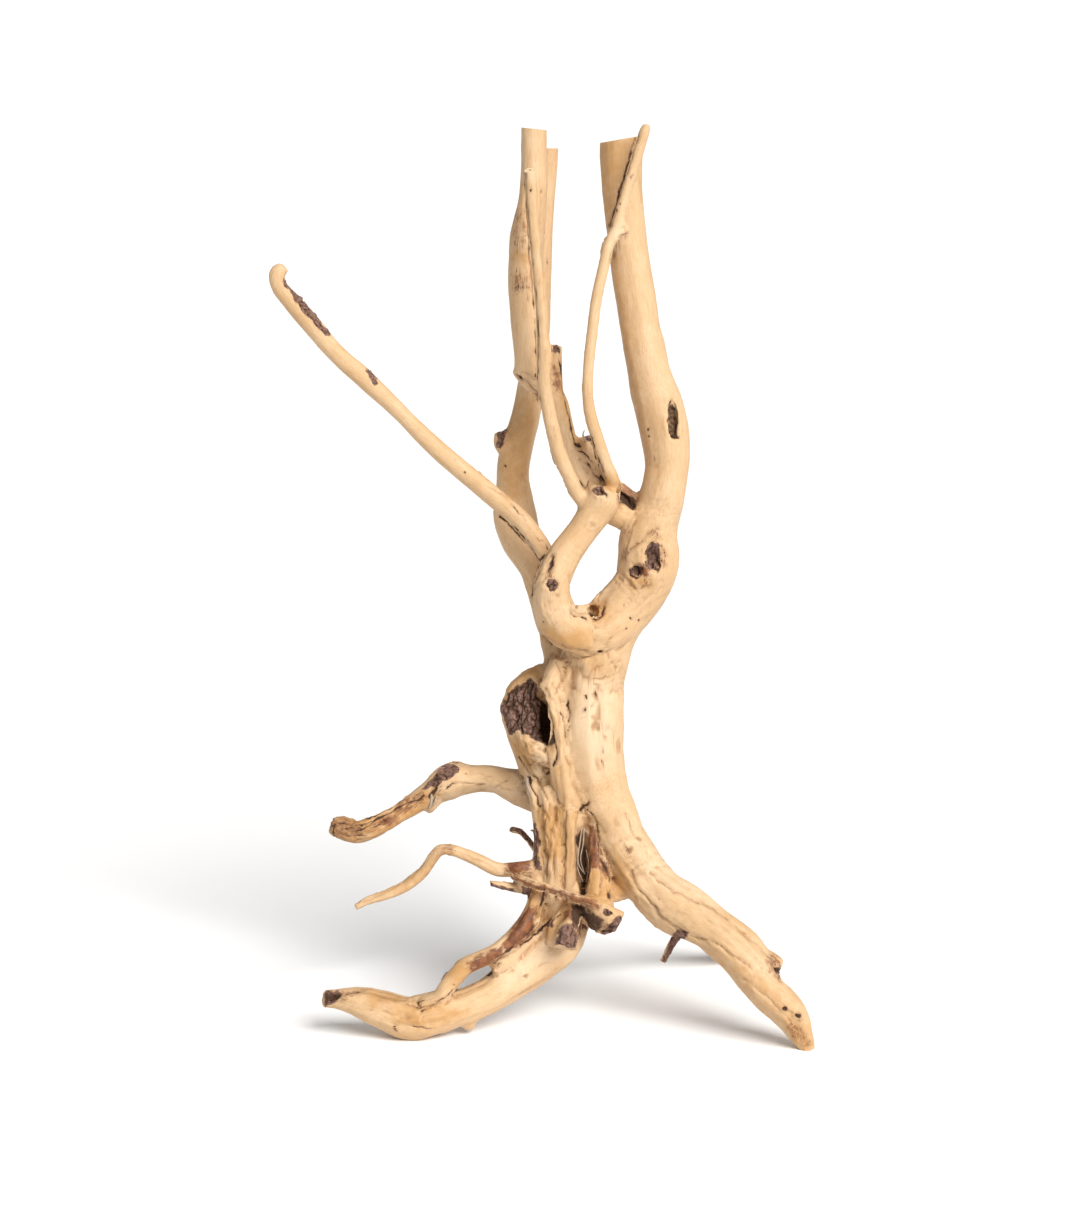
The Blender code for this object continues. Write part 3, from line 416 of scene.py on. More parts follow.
# %% [markdown]
# ## Marks read from the picture
# The small forms are set down as lines and patches in picture pixels. A crease has a half width in pixels,
# a depth in millimetres and a darkness, which paints the shade in the crease, and a negative depth makes a
# ridge. They could be drawn with a sculpt brush, but lines in code can be read, moved and made again the
# same way each time.
# %% Creases, cracks and folds
CREASES = {
    "branch_behind_loop": (1.7, 0.9, 0.85, [
        (500, 516), (512, 528), (525, 541), (534, 552), (540, 564), (537, 574), (534, 585), (531, 595)]),
    "long_branch_crack": (1.1, 0.4, 0.55, [
        (487, 487), (495, 491), (503, 496), (508, 501), (516, 510), (523, 516), (526, 521)]),
    "loop_crack_upper": (1.3, 0.4, 0.8, [(538, 538), (541, 542), (544, 541), (549, 550)]),
    "loop_crack_lower": (1.3, 0.4, 0.8, [(550, 549), (545, 555), (540, 562)]),
    "loop_slit": (2.4, 1.6, 1.0, [(552, 556), (550, 564), (547, 570)]),
    "disc_crease": (1.3, 0.4, 0.6, [(532, 590), (542, 581), (546, 577)]),
    "bulb_slit": (1.9, 1.3, 1.0, [(572, 613), (578, 615.5), (586, 618)]),
    "crotch_crescent": (2.0, 1.2, 1.0, [(591, 614), (595, 618), (601, 616), (604, 608)]),
    "crotch_rib": (1.6, -0.6, 0.0, [(596, 600), (600, 593), (606, 591)]),
    "knot_top_slit": (1.7, 1.0, 1.0, [(600, 491), (607, 496)]),
    "knot_top_lip": (1.6, -0.5, 0.0, [(591, 489), (597, 499), (607, 500)]),
    "forked_crack": (1.1, 0.4, 0.8, [(580, 481), (586, 489), (589, 481)]),
    "twig_foot_crack": (1.4, 0.5, 1.0, [(600, 477), (605, 484)]),
    "bridge_wedge": (2.4, 1.6, 1.0, [(619, 493), (625, 498), (630, 502), (634, 507)]),
    "bridge_edge": (1.4, 0.5, 0.6, [(632, 532), (627, 545), (621, 557)]),
    "brow_fold": (2.0, 0.7, 0.35, [(621, 560), (632, 547), (642, 541), (650, 532), (659, 529)]),
    "brow_swell": (3.0, -0.7, 0.0, [(629, 557), (639, 547), (648, 540), (660, 535)]),
    "brow_line": (1.3, 0.4, 0.4, [(626, 551), (637, 544), (644, 540)]),
    "upper_eye_crack": (1.5, 0.9, 1.0, [(657, 560), (660, 566), (658, 572)]),
    "lower_eye_crescent": (2.2, 1.0, 1.0, [(630, 570), (631, 575), (636, 578)]),
    "golden_fold": (2.4, -0.7, 0.0, [(631, 580), (637, 586), (650, 580)]),
    "golden_fold_under": (1.5, 0.5, 0.4, [(629, 584), (637, 590), (652, 583)]),
    "scar_arc": (1.1, 0.3, 0.5, [(637, 592), (641, 598), (646, 596)]),
    "bulb_under": (2.0, 0.9, 0.5, [(542, 635), (554, 645), (564, 649), (575, 650), (587, 651)]),
    "bulb_lens": (4.0, 0.6, 0.0, [(564, 656), (578, 657), (592, 656)]),
    "neck_wrinkle_1": (1.7, 0.6, 0.34, [(566, 662), (578, 668), (590, 670), (600, 668)]),
    "neck_wrinkle_2": (1.7, 0.6, 0.3, [(566, 666), (575, 670), (583, 674), (592, 676)]),
    "neck_wrinkle_3": (1.7, 0.6, 0.3, [(570, 671), (580, 677), (600, 679), (612, 677)]),
    "neck_wrinkle_4": (1.3, 0.25, 0.2, [(590, 683), (606, 684), (622, 682)]),
    "neck_wrinkle_5": (1.3, 0.25, 0.2, [(592, 690), (606, 691), (620, 689)]),
    "main_slit_edge": (1.3, 0.8, 1.1, [(672, 401), (669.5, 407), (668.8, 419), (670, 429), (672, 437)]),
    "main_slit_foot": (1.7, 0.8, 1.2, [(671, 432), (674, 438), (678, 438)]),
    "main_slit_far_edge": (1.0, 0.3, 0.6, [(674, 401), (676.4, 409), (676.6, 420), (677, 430)]),
    "main_slit_rim": (2.2, -0.5, 0.0, [(671, 398), (665.5, 408), (664.5, 422), (667, 436), (671, 443)]),
    "middle_stem_line": (1.6, 0.9, 0.7, [
        (524, 174), (526, 200), (529, 240), (532, 280), (536, 320), (537, 339), (536, 349), (537, 364),
        (537, 372)]),
    "twig_stem_edge": (1.2, 0.3, 0.3, [(540, 190), (541, 230), (544, 290), (548, 340)]),
    "burl_under": (1.8, 0.8, 0.9, [(515, 374), (521, 379), (530, 385), (536, 392), (539, 400)]),
    "burl_crease_2": (1.3, 0.4, 0.5, [(522, 372), (529, 377), (536, 381)]),
    "bowed_twig_line": (2.0, 1.0, 0.8, [
        (637, 136), (629, 160), (620, 188), (613, 212), (609, 226)]),
    "bowed_twig_lower_line": (1.8, 0.8, 0.6, [(617, 244), (612, 256), (610, 262)]),
    "bowed_node_crack": (1.1, 0.4, 0.7, [(621, 228), (625.5, 228), (626, 234), (619, 238)]),
    "bowed_small_crack": (1.1, 0.3, 0.6, [(633, 174), (630.5, 176), (631, 179)]),
    "torn_stub_crack_1": (1.4, 0.5, 0.8, [(579, 451), (586, 457), (592, 461)]),
    "torn_stub_crack_2": (1.5, 0.6, 0.9, [(591, 440), (596, 454), (602, 469), (604, 479)]),
    "torn_stub_crack_3": (1.3, 0.5, 0.8, [(587, 464), (595, 475), (600, 481)]),
    "hollow_stub_edge": (1.3, 0.4, 0.8, [(560, 362), (564, 392), (570, 425), (576, 446)]),
    "stub_rim_outer": (2.6, -0.8, 0.0, [
        (540, 667), (531, 671), (521, 679), (511, 690), (504, 700), (502, 708), (506, 719)]),
    "stub_rim_inner": (1.6, 0.8, 0.9, [(530, 681), (520, 686), (511, 694), (504, 704)]),
    "stub_wedge": (3.2, 1.6, 0.9, [(538, 695), (544, 704), (548, 716), (551, 730), (553, 743)]),
    "trunk_front_edge": (2.0, -0.6, 0.0, [
        (541, 688), (545, 696), (549, 704), (554, 715), (556, 727), (559, 737), (561, 750), (559, 762)]),
    "lip_gap": (1.6, 1.0, 1.0, [(555, 747), (557, 758), (554, 766)]),
    "lip_under": (1.6, 0.7, 0.7, [(519, 757), (527, 771), (539, 782), (550, 771)]),
    "lip_top_edge": (1.6, -0.5, 0.0, [(520, 739), (531, 744), (541, 743), (550, 748)]),
    "below_lip_crack": (1.5, 0.8, 0.6, [
        (524, 756), (530, 769), (534, 776), (540, 785), (544, 794), (550, 806), (552, 815)]),
    "below_lip_crack_2": (1.3, 0.6, 0.5, [(552, 785), (555, 794), (557, 804)]),
    "jagged_flake": (1.8, -0.7, 0.0, [(524, 779), (527, 789), (532, 796), (534, 804)]),
    "jagged_flake_gap": (1.5, 0.9, 1.0, [(528, 777), (531, 788), (536, 796), (539, 806)]),
    "oval_fold": (1.5, -0.5, 0.3, [(540, 810), (544, 807), (547, 812), (544, 819), (540, 816)]),
    "column_crease": (1.6, 0.9, 0.5, [(562, 822), (564, 836), (565, 850), (562, 862)]),
    "mouth_crack_1": (1.1, 0.9, 1.2, [(528, 684), (523, 699), (527, 714), (522, 730)]),
    "mouth_crack_2": (1.2, 1.0, 1.3, [(534, 683), (530, 700), (536, 717), (533, 735)]),
    "mouth_crack_3": (1.1, 0.9, 1.2, [(517, 691), (512, 705), (518, 718), (512, 729)]),
    "mouth_crack_4": (1.0, 0.6, 1.0, [(508, 707), (518, 702), (531, 708)]),
    "mouth_ridge": (2.0, -0.9, 0.0, [(521, 690), (518, 704), (522, 720), (518, 731)]),
    "column_fold_1": (1.7, 0.9, 0.36, [
        (542, 806), (547, 816), (543, 827), (549, 838), (544, 850), (548, 862), (545, 876)]),
    "column_fold_2": (1.6, 0.8, 0.34, [
        (553, 808), (556, 820), (551, 832), (557, 845), (553, 858), (556, 872)]),
    "column_swell": (2.0, -0.8, 0.0, [
        (548, 808), (552, 820), (547, 832), (553, 845), (548, 858), (552, 872)]),
    "column_hook": (1.3, 0.6, 0.45, [(543, 842), (549, 845), (552, 851), (548, 857)]),
    "column_hook_2": (1.2, 0.6, 0.45, [(556, 826), (552, 830), (554, 836)]),
    "trunk_left_fold_1": (1.7, 0.6, 0.35, [(546, 690), (553, 700), (558, 714), (557, 730), (560, 745)]),
    "trunk_left_fold_2": (1.6, 0.5, 0.3, [(552, 684), (560, 694), (563, 706)]),
    "under_bulb_fold": (1.8, 0.7, 0.4, [(556, 662), (562, 672), (561, 684), (556, 694)]),
    "right_neck_fold": (1.8, 0.5, 0.22, [(612, 636), (606, 646), (608, 658), (616, 668)]),
    "rib_left": (1.4, 0.7, 0.32, [(565, 812), (564, 840), (565, 870), (563, 893)]),
    "rib_right": (1.4, 0.7, 0.38, [(578, 812), (577, 832), (576, 850), (574, 868)]),
    "rib_fold_1": (1.2, 0.3, 0.4, [(572, 804), (579, 808), (585, 806)]),
    "rib_fold_2": (1.2, 0.3, 0.4, [(570, 810), (578, 815), (584, 814)]),
    "trunk_slit_1": (1.3, 0.7, 0.9, [(562, 712), (563, 722)]),
    "trunk_slit_2": (1.3, 0.7, 0.9, [(566.5, 702), (568, 712), (567.5, 722)]),
    "trunk_slit_3": (1.2, 0.4, 0.6, [(564, 725), (567, 737)]),
    "trunk_soft_crease": (3.0, 0.6, 0.25, [(571, 675), (570, 691), (567, 700), (565, 720), (566, 745)]),
    "trunk_lower_crease": (2.4, 0.6, 0.35, [(564, 748), (569, 764), (573, 780), (577, 794), (582, 805)]),
    "trunk_wrinkle_1": (1.1, 0.25, 0.4, [(588, 725), (601, 723), (612, 726)]),
    "trunk_wrinkle_2": (1.1, 0.2, 0.35, [(590, 730), (603, 729), (615, 731)]),
    "trunk_wrinkle_3": (1.1, 0.2, 0.4, [(597, 734), (606, 737), (614, 738)]),
    "trunk_scar": (1.1, 0.3, 0.5, [(601, 760), (604, 768)]),
    "cavity_top": (2.2, 1.4, 1.0, [(581, 812), (584, 806), (588, 804)]),
    "cavity_edge": (1.5, 0.8, 0.8, [
        (587, 809), (595, 819), (599, 831), (599, 850), (600, 855), (605, 866), (610, 875), (610, 881)]),
    "inner_root_seam": (1.4, 0.5, 0.7, [(594, 833), (592, 850), (589, 866), (590, 885)]),
    "inner_root_seam_2": (1.2, 0.3, 0.5, [(603, 868), (601, 882), (598, 895)]),
    "red_root_crease": (1.5, 0.9, 0.75, [
        (544, 889), (541, 905), (539, 917), (530, 932), (517, 945), (505, 955), (495, 965)]),
    "red_root_crease_2": (1.6, 0.7, 0.9, [(560, 915), (550, 921), (542, 929), (534, 936), (521, 946)]),
    "red_root_fibre": (1.3, 0.4, 0.6, [(533, 893), (527, 910), (517, 928), (500, 944)]),
    "red_root_under": (1.6, 0.8, 0.9, [(500, 964), (486, 974), (472, 981), (464, 984)]),
    "red_root_end": (1.5, 0.6, 0.8, [(454, 991), (447, 998), (436, 1004), (422, 1011)]),
    "knuckle_fold": (1.3, 0.5, 0.7, [(408, 1003), (420, 1008), (431, 1006)]),
    "knuckle_fold_2": (1.2, 0.4, 0.6, [(412, 997), (416, 1001), (424, 1000)]),
    "foot_scar": (1.4, 0.5, 0.8, [(414, 1028), (420, 1029), (430, 1028)]),
    "foot_scar_2": (1.3, 0.4, 0.7, [(397, 1023), (393, 1027), (396, 1031)]),
    "foot_neck": (1.3, 0.4, 0.6, [(340, 995), (350, 994), (366, 990)]),
    "leg_fold": (1.6, 0.5, 0.5, [(627, 814), (630, 826), (635, 835), (642, 840)]),
    "leg_cross_1": (1.2, 0.35, 0.5, [(623, 868), (631, 862), (638, 859)]),
    "leg_cross_2": (1.2, 0.35, 0.5, [(632, 870), (640, 865), (648, 862)]),
    "leg_cross_3": (1.2, 0.35, 0.5, [(647, 856), (652, 855), (657, 853)]),
    "leg_cross_4": (1.2, 0.3, 0.4, [(637, 875), (641, 873), (645, 872)]),
    "leg_crease_1": (1.8, 0.9, 0.32, [
        (650, 872), (660, 882), (673, 890), (688, 898), (703, 903), (712, 908), (720, 914), (728, 919)]),
    "leg_crease_2": (2.2, 1.2, 0.42, [
        (631, 870), (632, 881), (638, 890), (647, 900), (655, 910), (660, 918), (673, 927), (683, 932)]),
    "leg_flange": (2.4, -0.7, 0.0, [(637, 900), (645, 915), (657, 926), (670, 932), (680, 936)]),
    "leg_crease_3": (1.7, 0.8, 0.36, [
        (693, 938), (707, 940), (718, 945), (727, 952), (737, 958), (750, 967)]),
    "leg_crease_4": (1.5, 0.6, 0.4, [(745, 978), (757, 988), (770, 1000), (780, 1012)]),
    "leg_crease_5": (1.4, 0.5, 0.26, [(728, 921), (742, 931), (758, 946), (768, 958)]),
    "leg_inner_fold_1": (1.8, 0.5, 0.35, [(605, 850), (615, 865), (630, 887)]),
    "leg_inner_fold_2": (1.6, 0.4, 0.3, [(612, 846), (622, 862), (634, 876)]),
    "leg_knot_crack": (1.2, 0.4, 0.4, [(784, 1010), (791, 1012), (797, 1015)]),
    "upper_root_crack": (1.1, 0.5, 0.7, [(446, 790), (452, 784), (465, 783), (484, 785)]),
    "upper_root_torn": (2.0, 1.2, 1.0, [(437, 785), (434, 792), (430, 798)]),
    "upper_root_torn_2": (1.4, 0.6, 0.7, [(440, 788), (436, 797), (431, 806)]),
    "upper_root_scar": (1.6, 0.5, 0.6, [(510, 777), (503, 783), (496, 788)]),
    "upper_root_scar_2": (1.2, 0.3, 0.6, [(499, 787), (505, 789), (511, 791)]),
    "upper_root_line": (1.5, 0.6, 0.8, [
        (412, 800), (400, 806), (388, 813), (376, 820), (364, 828), (352, 834)]),
    "upper_root_line_2": (1.3, 0.4, 0.6, [(420, 803), (408, 808), (396, 816), (384, 823), (370, 829)]),
    "upper_root_line_3": (1.2, 0.4, 0.6, [(406, 797), (394, 805), (380, 814), (366, 820), (350, 823)]),
    "upper_root_line_4": (1.2, 0.4, 0.5, [(378, 836), (366, 839), (356, 841)]),
    "upper_root_line_5": (1.4, 0.6, 0.85, [
        (424, 797), (410, 801), (396, 808), (380, 817), (362, 825), (346, 829)]),
    "upper_root_line_6": (1.3, 0.5, 0.75, [(338, 823), (352, 824), (366, 819), (380, 812)]),
    "upper_root_line_7": (1.3, 0.4, 0.7, [(336, 833), (350, 837), (364, 836), (376, 830)]),
    "upper_root_tip": (1.5, 0.6, 0.9, [(334, 824), (332, 830), (334, 836)]),
    "thin_root_line": (1.1, 0.3, 0.5, [(436, 848), (428, 858), (419, 870), (410, 878), (402, 882)]),
    "thin_root_knot": (1.6, -0.4, 0.7, [(450, 845), (452, 850), (451, 854)]),
    "thin_root_under": (2.1, 0.2, 0.48, [(354, 903), (372, 899), (392, 890), (408, 877), (421, 862)]),
    "thin_root_over": (1.5, 0.15, 0.36, [(462, 853), (478, 860), (494, 867), (508, 871)]),
    "thin_root_line_2": (1.0, 0.2, 0.4, [(455, 850), (468, 856), (480, 862)]),
}
# %% Fans of wrinkles: first line, step to the next, how many, half width, depth, darkness of painted shade
WRINKLES = {
    "bridge_ridges": ([(631, 510), (626, 520), (620, 529)], (3.6, 3.0), 3, 1.5, 0.45, 0.34),
    "below_bridge": ([(615, 581), (623, 590), (631, 599)], (3.7, -3.4), 4, 1.5, 0.38, 0.26),
    "main_stem_folds": ([(643, 497), (660, 500), (680, 498)], (0.0, 5.2), 6, 1.7, 0.26, 0.15),
    "loop_folds": ([(574, 545), (583, 550), (590, 557)], (-3.4, 5.6), 4, 1.7, 0.2, 0.1),
    "branch_grain": ([(536, 600), (541, 614), (547, 626)], (5.0, -1.2), 3, 1.6, 0.2, 0.14),
    "neck_folds": ([(567, 661), (585, 668), (603, 667), (621, 661)], (0.8, 5.4), 6, 1.9, 0.5, 0.2),
    "middle_folds": ([(586, 700), (602, 702), (620, 700)], (0.0, 8.5), 4, 2.0, 0.22, 0.06),
    "leg_knee_folds": ([(612, 846), (628, 838), (648, 838)], (5.4, 7.0), 5, 1.9, 0.32, 0.17),
    "hip_folds": ([(628, 604), (644, 590), (662, 580)], (3.8, 6.4), 5, 1.9, 0.3, 0.12),
    "loop_side": ([(541, 590), (550, 596), (562, 596)], (0.5, 7.0), 4, 1.9, 0.2, 0.07),
    "leg_ribs": ([(655, 866), (680, 884), (705, 893)], (-3.2, 6.4), 2, 1.9, 0.22, 0.1),
    "leg_lower_ribs": ([(700, 925), (730, 945), (765, 985)], (7.0, -5.0), 3, 1.9, 0.22, 0.1),
    "foot_ribs": ([(720, 925), (750, 950), (790, 1000)], (5.0, -5.0), 2, 1.9, 0.22, 0.12),
    "column_ribs": ([(541, 815), (543, 835), (540, 860)], (8.0, 0.0), 2, 1.7, 0.5, 0.26),
    "u_end_ribs": ([(338, 820), (350, 827), (366, 832)], (-1.0, 5.0), 3, 1.5, 0.35, 0.34),
    "left_leg_ribs": ([(380, 992), (395, 1002), (400, 1020)], (8.0, 1.0), 4, 2.0, 0.25, 0.14),
    "lip_ribs": ([(516, 744), (524, 756), (530, 768)], (6.0, 1.5), 4, 1.6, 0.3, 0.16),
}
# %% Leftover bark: outlines in pixels
BARK = {
    "stub_bark": [(530, 678), (536, 682), (538, 690), (540, 700), (543, 715), (545, 735), (541, 742),
                  (531, 738), (518, 731), (511, 737), (507, 728), (506, 718), (502, 708), (505, 700),
                  (511, 692), (520, 684)],
    "upper_eye_bark": [(651, 542), (659, 543), (660, 556), (658, 571), (649, 569), (645, 565), (648, 557),
                       (645, 552), (648, 547)],
    "upper_root_bark": [(421, 790), (431, 778), (441, 768), (450, 763), (461, 768), (458, 772), (450, 779),
                        (442, 783), (436, 788)],
    "long_branch_bark": [(283, 277), (290, 284), (300, 295), (310, 307), (320, 320), (331, 335), (326, 336),
                         (314, 325), (304, 313), (294, 299), (284, 285)],
    "foot_bark": [(322, 1004), (322, 996), (327, 991), (340, 991), (340, 997), (335, 1003), (328, 1005)],
    "stub_body": [(558, 928), (566, 924), (574, 925), (577, 935), (577, 946), (572, 950), (566, 945),
                  (558, 944), (555, 946), (557, 935)],
    "stub_slot": [(570, 904), (577, 903), (583, 908), (583, 930), (576, 928), (570, 918)],
    "cup_bark": [(606, 926), (613, 923), (618, 916), (624, 918), (626, 923), (619, 930), (611, 935),
                 (603, 936), (601, 931)],
    "spur": [(675, 930), (688, 932), (684, 941), (674, 950), (665, 962), (662, 960), (667, 948)],
    "back_stub": [(497, 431), (507, 431), (504, 440), (500, 449), (497, 447)],
    "branch_mark": [(364, 367), (376, 376), (380, 383), (373, 387), (370, 378)],
    "torn_knob": [(575, 443), (579, 442), (580, 447), (576, 448)],
    "torn_crumb": [(583, 436), (590, 434), (592, 441), (586, 443)],
    "column_edge": [(532, 824), (537, 822), (540, 840), (539, 858), (540, 871), (535, 870), (534, 850)],
    "twig_knot": [(521, 887), (530, 886), (531, 897), (523, 898)],
    "grey_twig": [(488, 882), (502, 885), (514, 888), (514, 892), (500, 890), (488, 886)],
    "dark_twig": [(508, 826), (520, 828), (530, 836), (538, 846), (534, 848), (526, 840), (516, 832),
                  (508, 832)],
    "stub_knob": [(549, 919), (554, 920), (554, 927), (548, 927)],
    "middle_stub_mouth": [(552, 343), (559, 344), (559, 354), (552, 352)],
}
# %% Round marks: middle and half sizes in pixels, turn in degrees, depth in millimetres, darkness (painted shade in the dent), rim
ROUND_MARKS = {
    "loop_disc": (552, 584.5, 6.5, 6.0, 0, 0.5, 0.35, 0.6),
    "loop_disc_heart": (552, 584.5, 1.8, 1.6, 0, 0.4, 0.9, 0.0),
    "bulb_stub": (577, 612, 9.5, 4.5, 15, 0.9, 0.35, 0.9),
    "ring_scar": (592, 525.6, 4.0, 3.6, 0, 0.4, 0.3, 0.6),
    "knot_top_cup": (599, 492, 6.5, 4.5, 10, 0.7, 0.5, 0.6),
    "lower_round_knot": (637, 570, 6.0, 5.6, 0, 0.4, 0.5, 0.7),
    "bark_disc": (607, 912.5, 4.6, 3.2, 10, 0.3, 0.7, 0.3),
    "leg_knot": (628.5, 849.5, 4.5, 3.2, -15, 0.3, 0.6, 0.3),
    "leg_knob_spot": (777, 971, 3.4, 3.6, 0, 0.5, 0.9, 0.4),
    "foot_knot_1": (784, 1009.5, 3.4, 2.9, 0, 0.6, 1.1, 0.5),
    "foot_knot_2": (798, 1015, 4.0, 3.2, 0, 0.6, 1.1, 0.5),
    "leg_end_hole": (332, 997.5, 8.0, 4.8, -14, 1.6, 0.5, 0.3),
    "main_slit_hole": (673, 419.5, 4.8, 19.5, -4, 1.3, 0.42, 0.35),
    "web_knot": (609.5, 895.5, 4.2, 4.6, 0, 0.6, 0.85, 0.5),
    "foot_pit": (525, 977, 3.0, 3.0, 0, 0.7, 0.6, 0.4),
    "trunk_hole": (599.5, 651.5, 3.2, 2.2, 10, 1.2, 1.0, 0.4),
    "twig_node": (536, 376, 2.2, 2.8, 0, 0.5, 1.0, 0.2),
    "grey_scar": (534, 351, 2.2, 4.0, 0, 0.3, 0.5, 0.2),
    "nick": (543, 886, 1.6, 1.6, 0, 0.3, 0.2, 0.2),
    "upper_root_pit": (466.5, 772.5, 1.6, 1.6, 0, 0.4, 0.6, 0.2),
    "upper_root_knot": (385, 821, 3.0, 2.6, 20, 0.5, 0.8, 0.4),
    "pocket_knob_ring": (539, 685, 6.5, 5.6, 0, -0.5, 0.0, 0.0),
    "foot_swell_mark": (420, 1020, 2.2, 3.4, 0, -0.3, 0.0, 0.0),
    "bulb_hole_1": (542.5, 623, 1.3, 1.3, 0, 0.6, 0.9, 0.2),
    "bulb_hole_2": (554, 626, 1.3, 1.3, 0, 0.6, 0.9, 0.2),
    "leg_pit_1": (443, 1013.5, 1.4, 1.2, 0, 0.3, 0.7, 0.0),
    "root_tip_pit": (455, 984.5, 1.3, 1.2, 0, 0.3, 0.7, 0.0),
}
BARKED = ("loop_disc", "knot_top_cup", "lower_round_knot", "bark_disc", "leg_knob_spot")
# Small pits, each painted dark with the shade inside it.
PITS = [
    (630, 619), (639, 620.6), (625.5, 627.5), (648, 429), (649, 436), (650, 454), (655.5, 448),
    (655.5, 460), (586, 695), (595, 695), (583, 703), (590, 705.6), (585, 711), (587, 698), (602, 752),
    (606, 752), (610, 752), (661, 545), (664, 552), (662, 560), (506, 466), (531, 191), (542, 192),
    (548, 262), (620, 260), (655, 311), (524, 290), (528, 300), (514, 316), (529, 225), (620, 203),
    (616, 210), (465, 473), (300, 305), (545, 905), (556, 897), (566, 899), (575, 903), (590, 905),
    (511, 880),
]
# %% Stains and painted shade in pixels: red-brown, golden (partly painted shade) and pale wood, deep shade and rough wood
# Each stain has a strength and an outline.
RUST = {
    "stem_stain": (0.42, [(512, 210), (524, 206), (528, 230), (527, 253), (512, 253)]),
    "stem_scribble": (0.5, [(510, 270), (524, 268), (531, 280), (531, 298), (516, 298), (510, 288)]),
    "stub_streak": (0.6, [(550, 362), (560, 362), (563, 392), (557, 394), (551, 386)]),
    "twig_specks": (0.45, [(550, 426), (556, 428), (557, 443), (552, 443)]),
    "bridge_stain": (0.75, [(619, 482), (636, 484), (637, 497), (622, 492)]),
    "brow_stain": (0.6, [(649, 530), (660, 529), (660, 539), (650, 539)]),
    "loop_streak": (0.6, [(546, 568), (554, 568), (555, 578), (547, 580)]),
    "inner_root": (1.0, [
        (588, 826), (598, 830), (600, 850), (600, 868), (590, 872), (586, 868), (588, 845)]),
    "crossing_root": (1.0, [
        (512, 874), (532, 882), (561, 890), (590, 899), (602, 905), (598, 910), (570, 899), (540, 891),
        (514, 881)]),
    "thin_root_foot": (1.0, [(505, 864), (516, 860), (530, 860), (531, 872), (515, 876), (505, 872)]),
    "red_root": (1.0, [(524, 908), (537, 906), (535, 930), (522, 946), (508, 953), (500, 949), (510, 930)]),
    "red_root_low": (0.95, [(486, 952), (502, 946), (506, 956), (490, 966), (470, 973), (466, 963)]),
    "strand_knot": (1.0, [(562, 910), (571, 908), (572, 918), (563, 920)]),
    "strand_side": (0.7, [(575, 925), (585, 923), (585, 936), (577, 938)]),
    "lower_eye": (1.0, [(640, 566), (648, 566), (648, 574), (640, 576)]),
    "root_middle": (0.8, [(380, 818), (396, 812), (399, 820), (388, 826), (381, 826)]),
    "leg_tip": (0.55, [(786, 1020), (798, 1024), (808, 1036), (811, 1046), (800, 1044), (788, 1032)]),
    "web_red": (0.8, [(600, 846), (608, 862), (612, 876), (606, 880), (600, 868), (597, 852)]),
    "crossing_dark": (0.7, [
        (520, 884), (548, 893), (575, 902), (598, 911), (590, 912), (560, 903), (530, 893)]),
    "left_leg_specks": (0.55, [(470, 955), (500, 955), (498, 970), (474, 972)]),
    "u_middle": (0.55, [(395, 800), (420, 790), (432, 800), (412, 812), (392, 816)]),
    "leg_knot_stain": (0.5, [(622, 845), (634, 844), (635, 855), (622, 856)]),
    "u_tip": (0.5, [(326, 822), (340, 816), (360, 822), (366, 836), (348, 842), (330, 836)]),
    "u_streak": (0.6, [(366, 826), (392, 812), (400, 806), (404, 812), (384, 828), (366, 834)]),
    "bridge_torn": (0.8, [(617, 482), (628, 484), (637, 493), (637, 498), (628, 493), (618, 490)]),
    "stub_side": (0.7, [(574, 924), (582, 928), (586, 936), (580, 938), (574, 932)]),
    "eye_side": (0.5, [(661, 544), (668, 548), (668, 566), (661, 570)]),
    "leg_knob": (0.6, [(768, 950), (778, 956), (784, 970), (782, 984), (774, 980), (766, 962)]),
    "leg_end_red": (0.6, [(338, 991), (352, 990), (368, 988), (366, 994), (350, 998), (340, 1002)]),
    "thin_knee": (0.6, [(436, 846), (446, 843), (456, 846), (454, 852), (440, 852), (432, 856)]),
    "lower_eye_side": (0.5, [(641, 577), (650, 577), (652, 586), (642, 588)]),
}
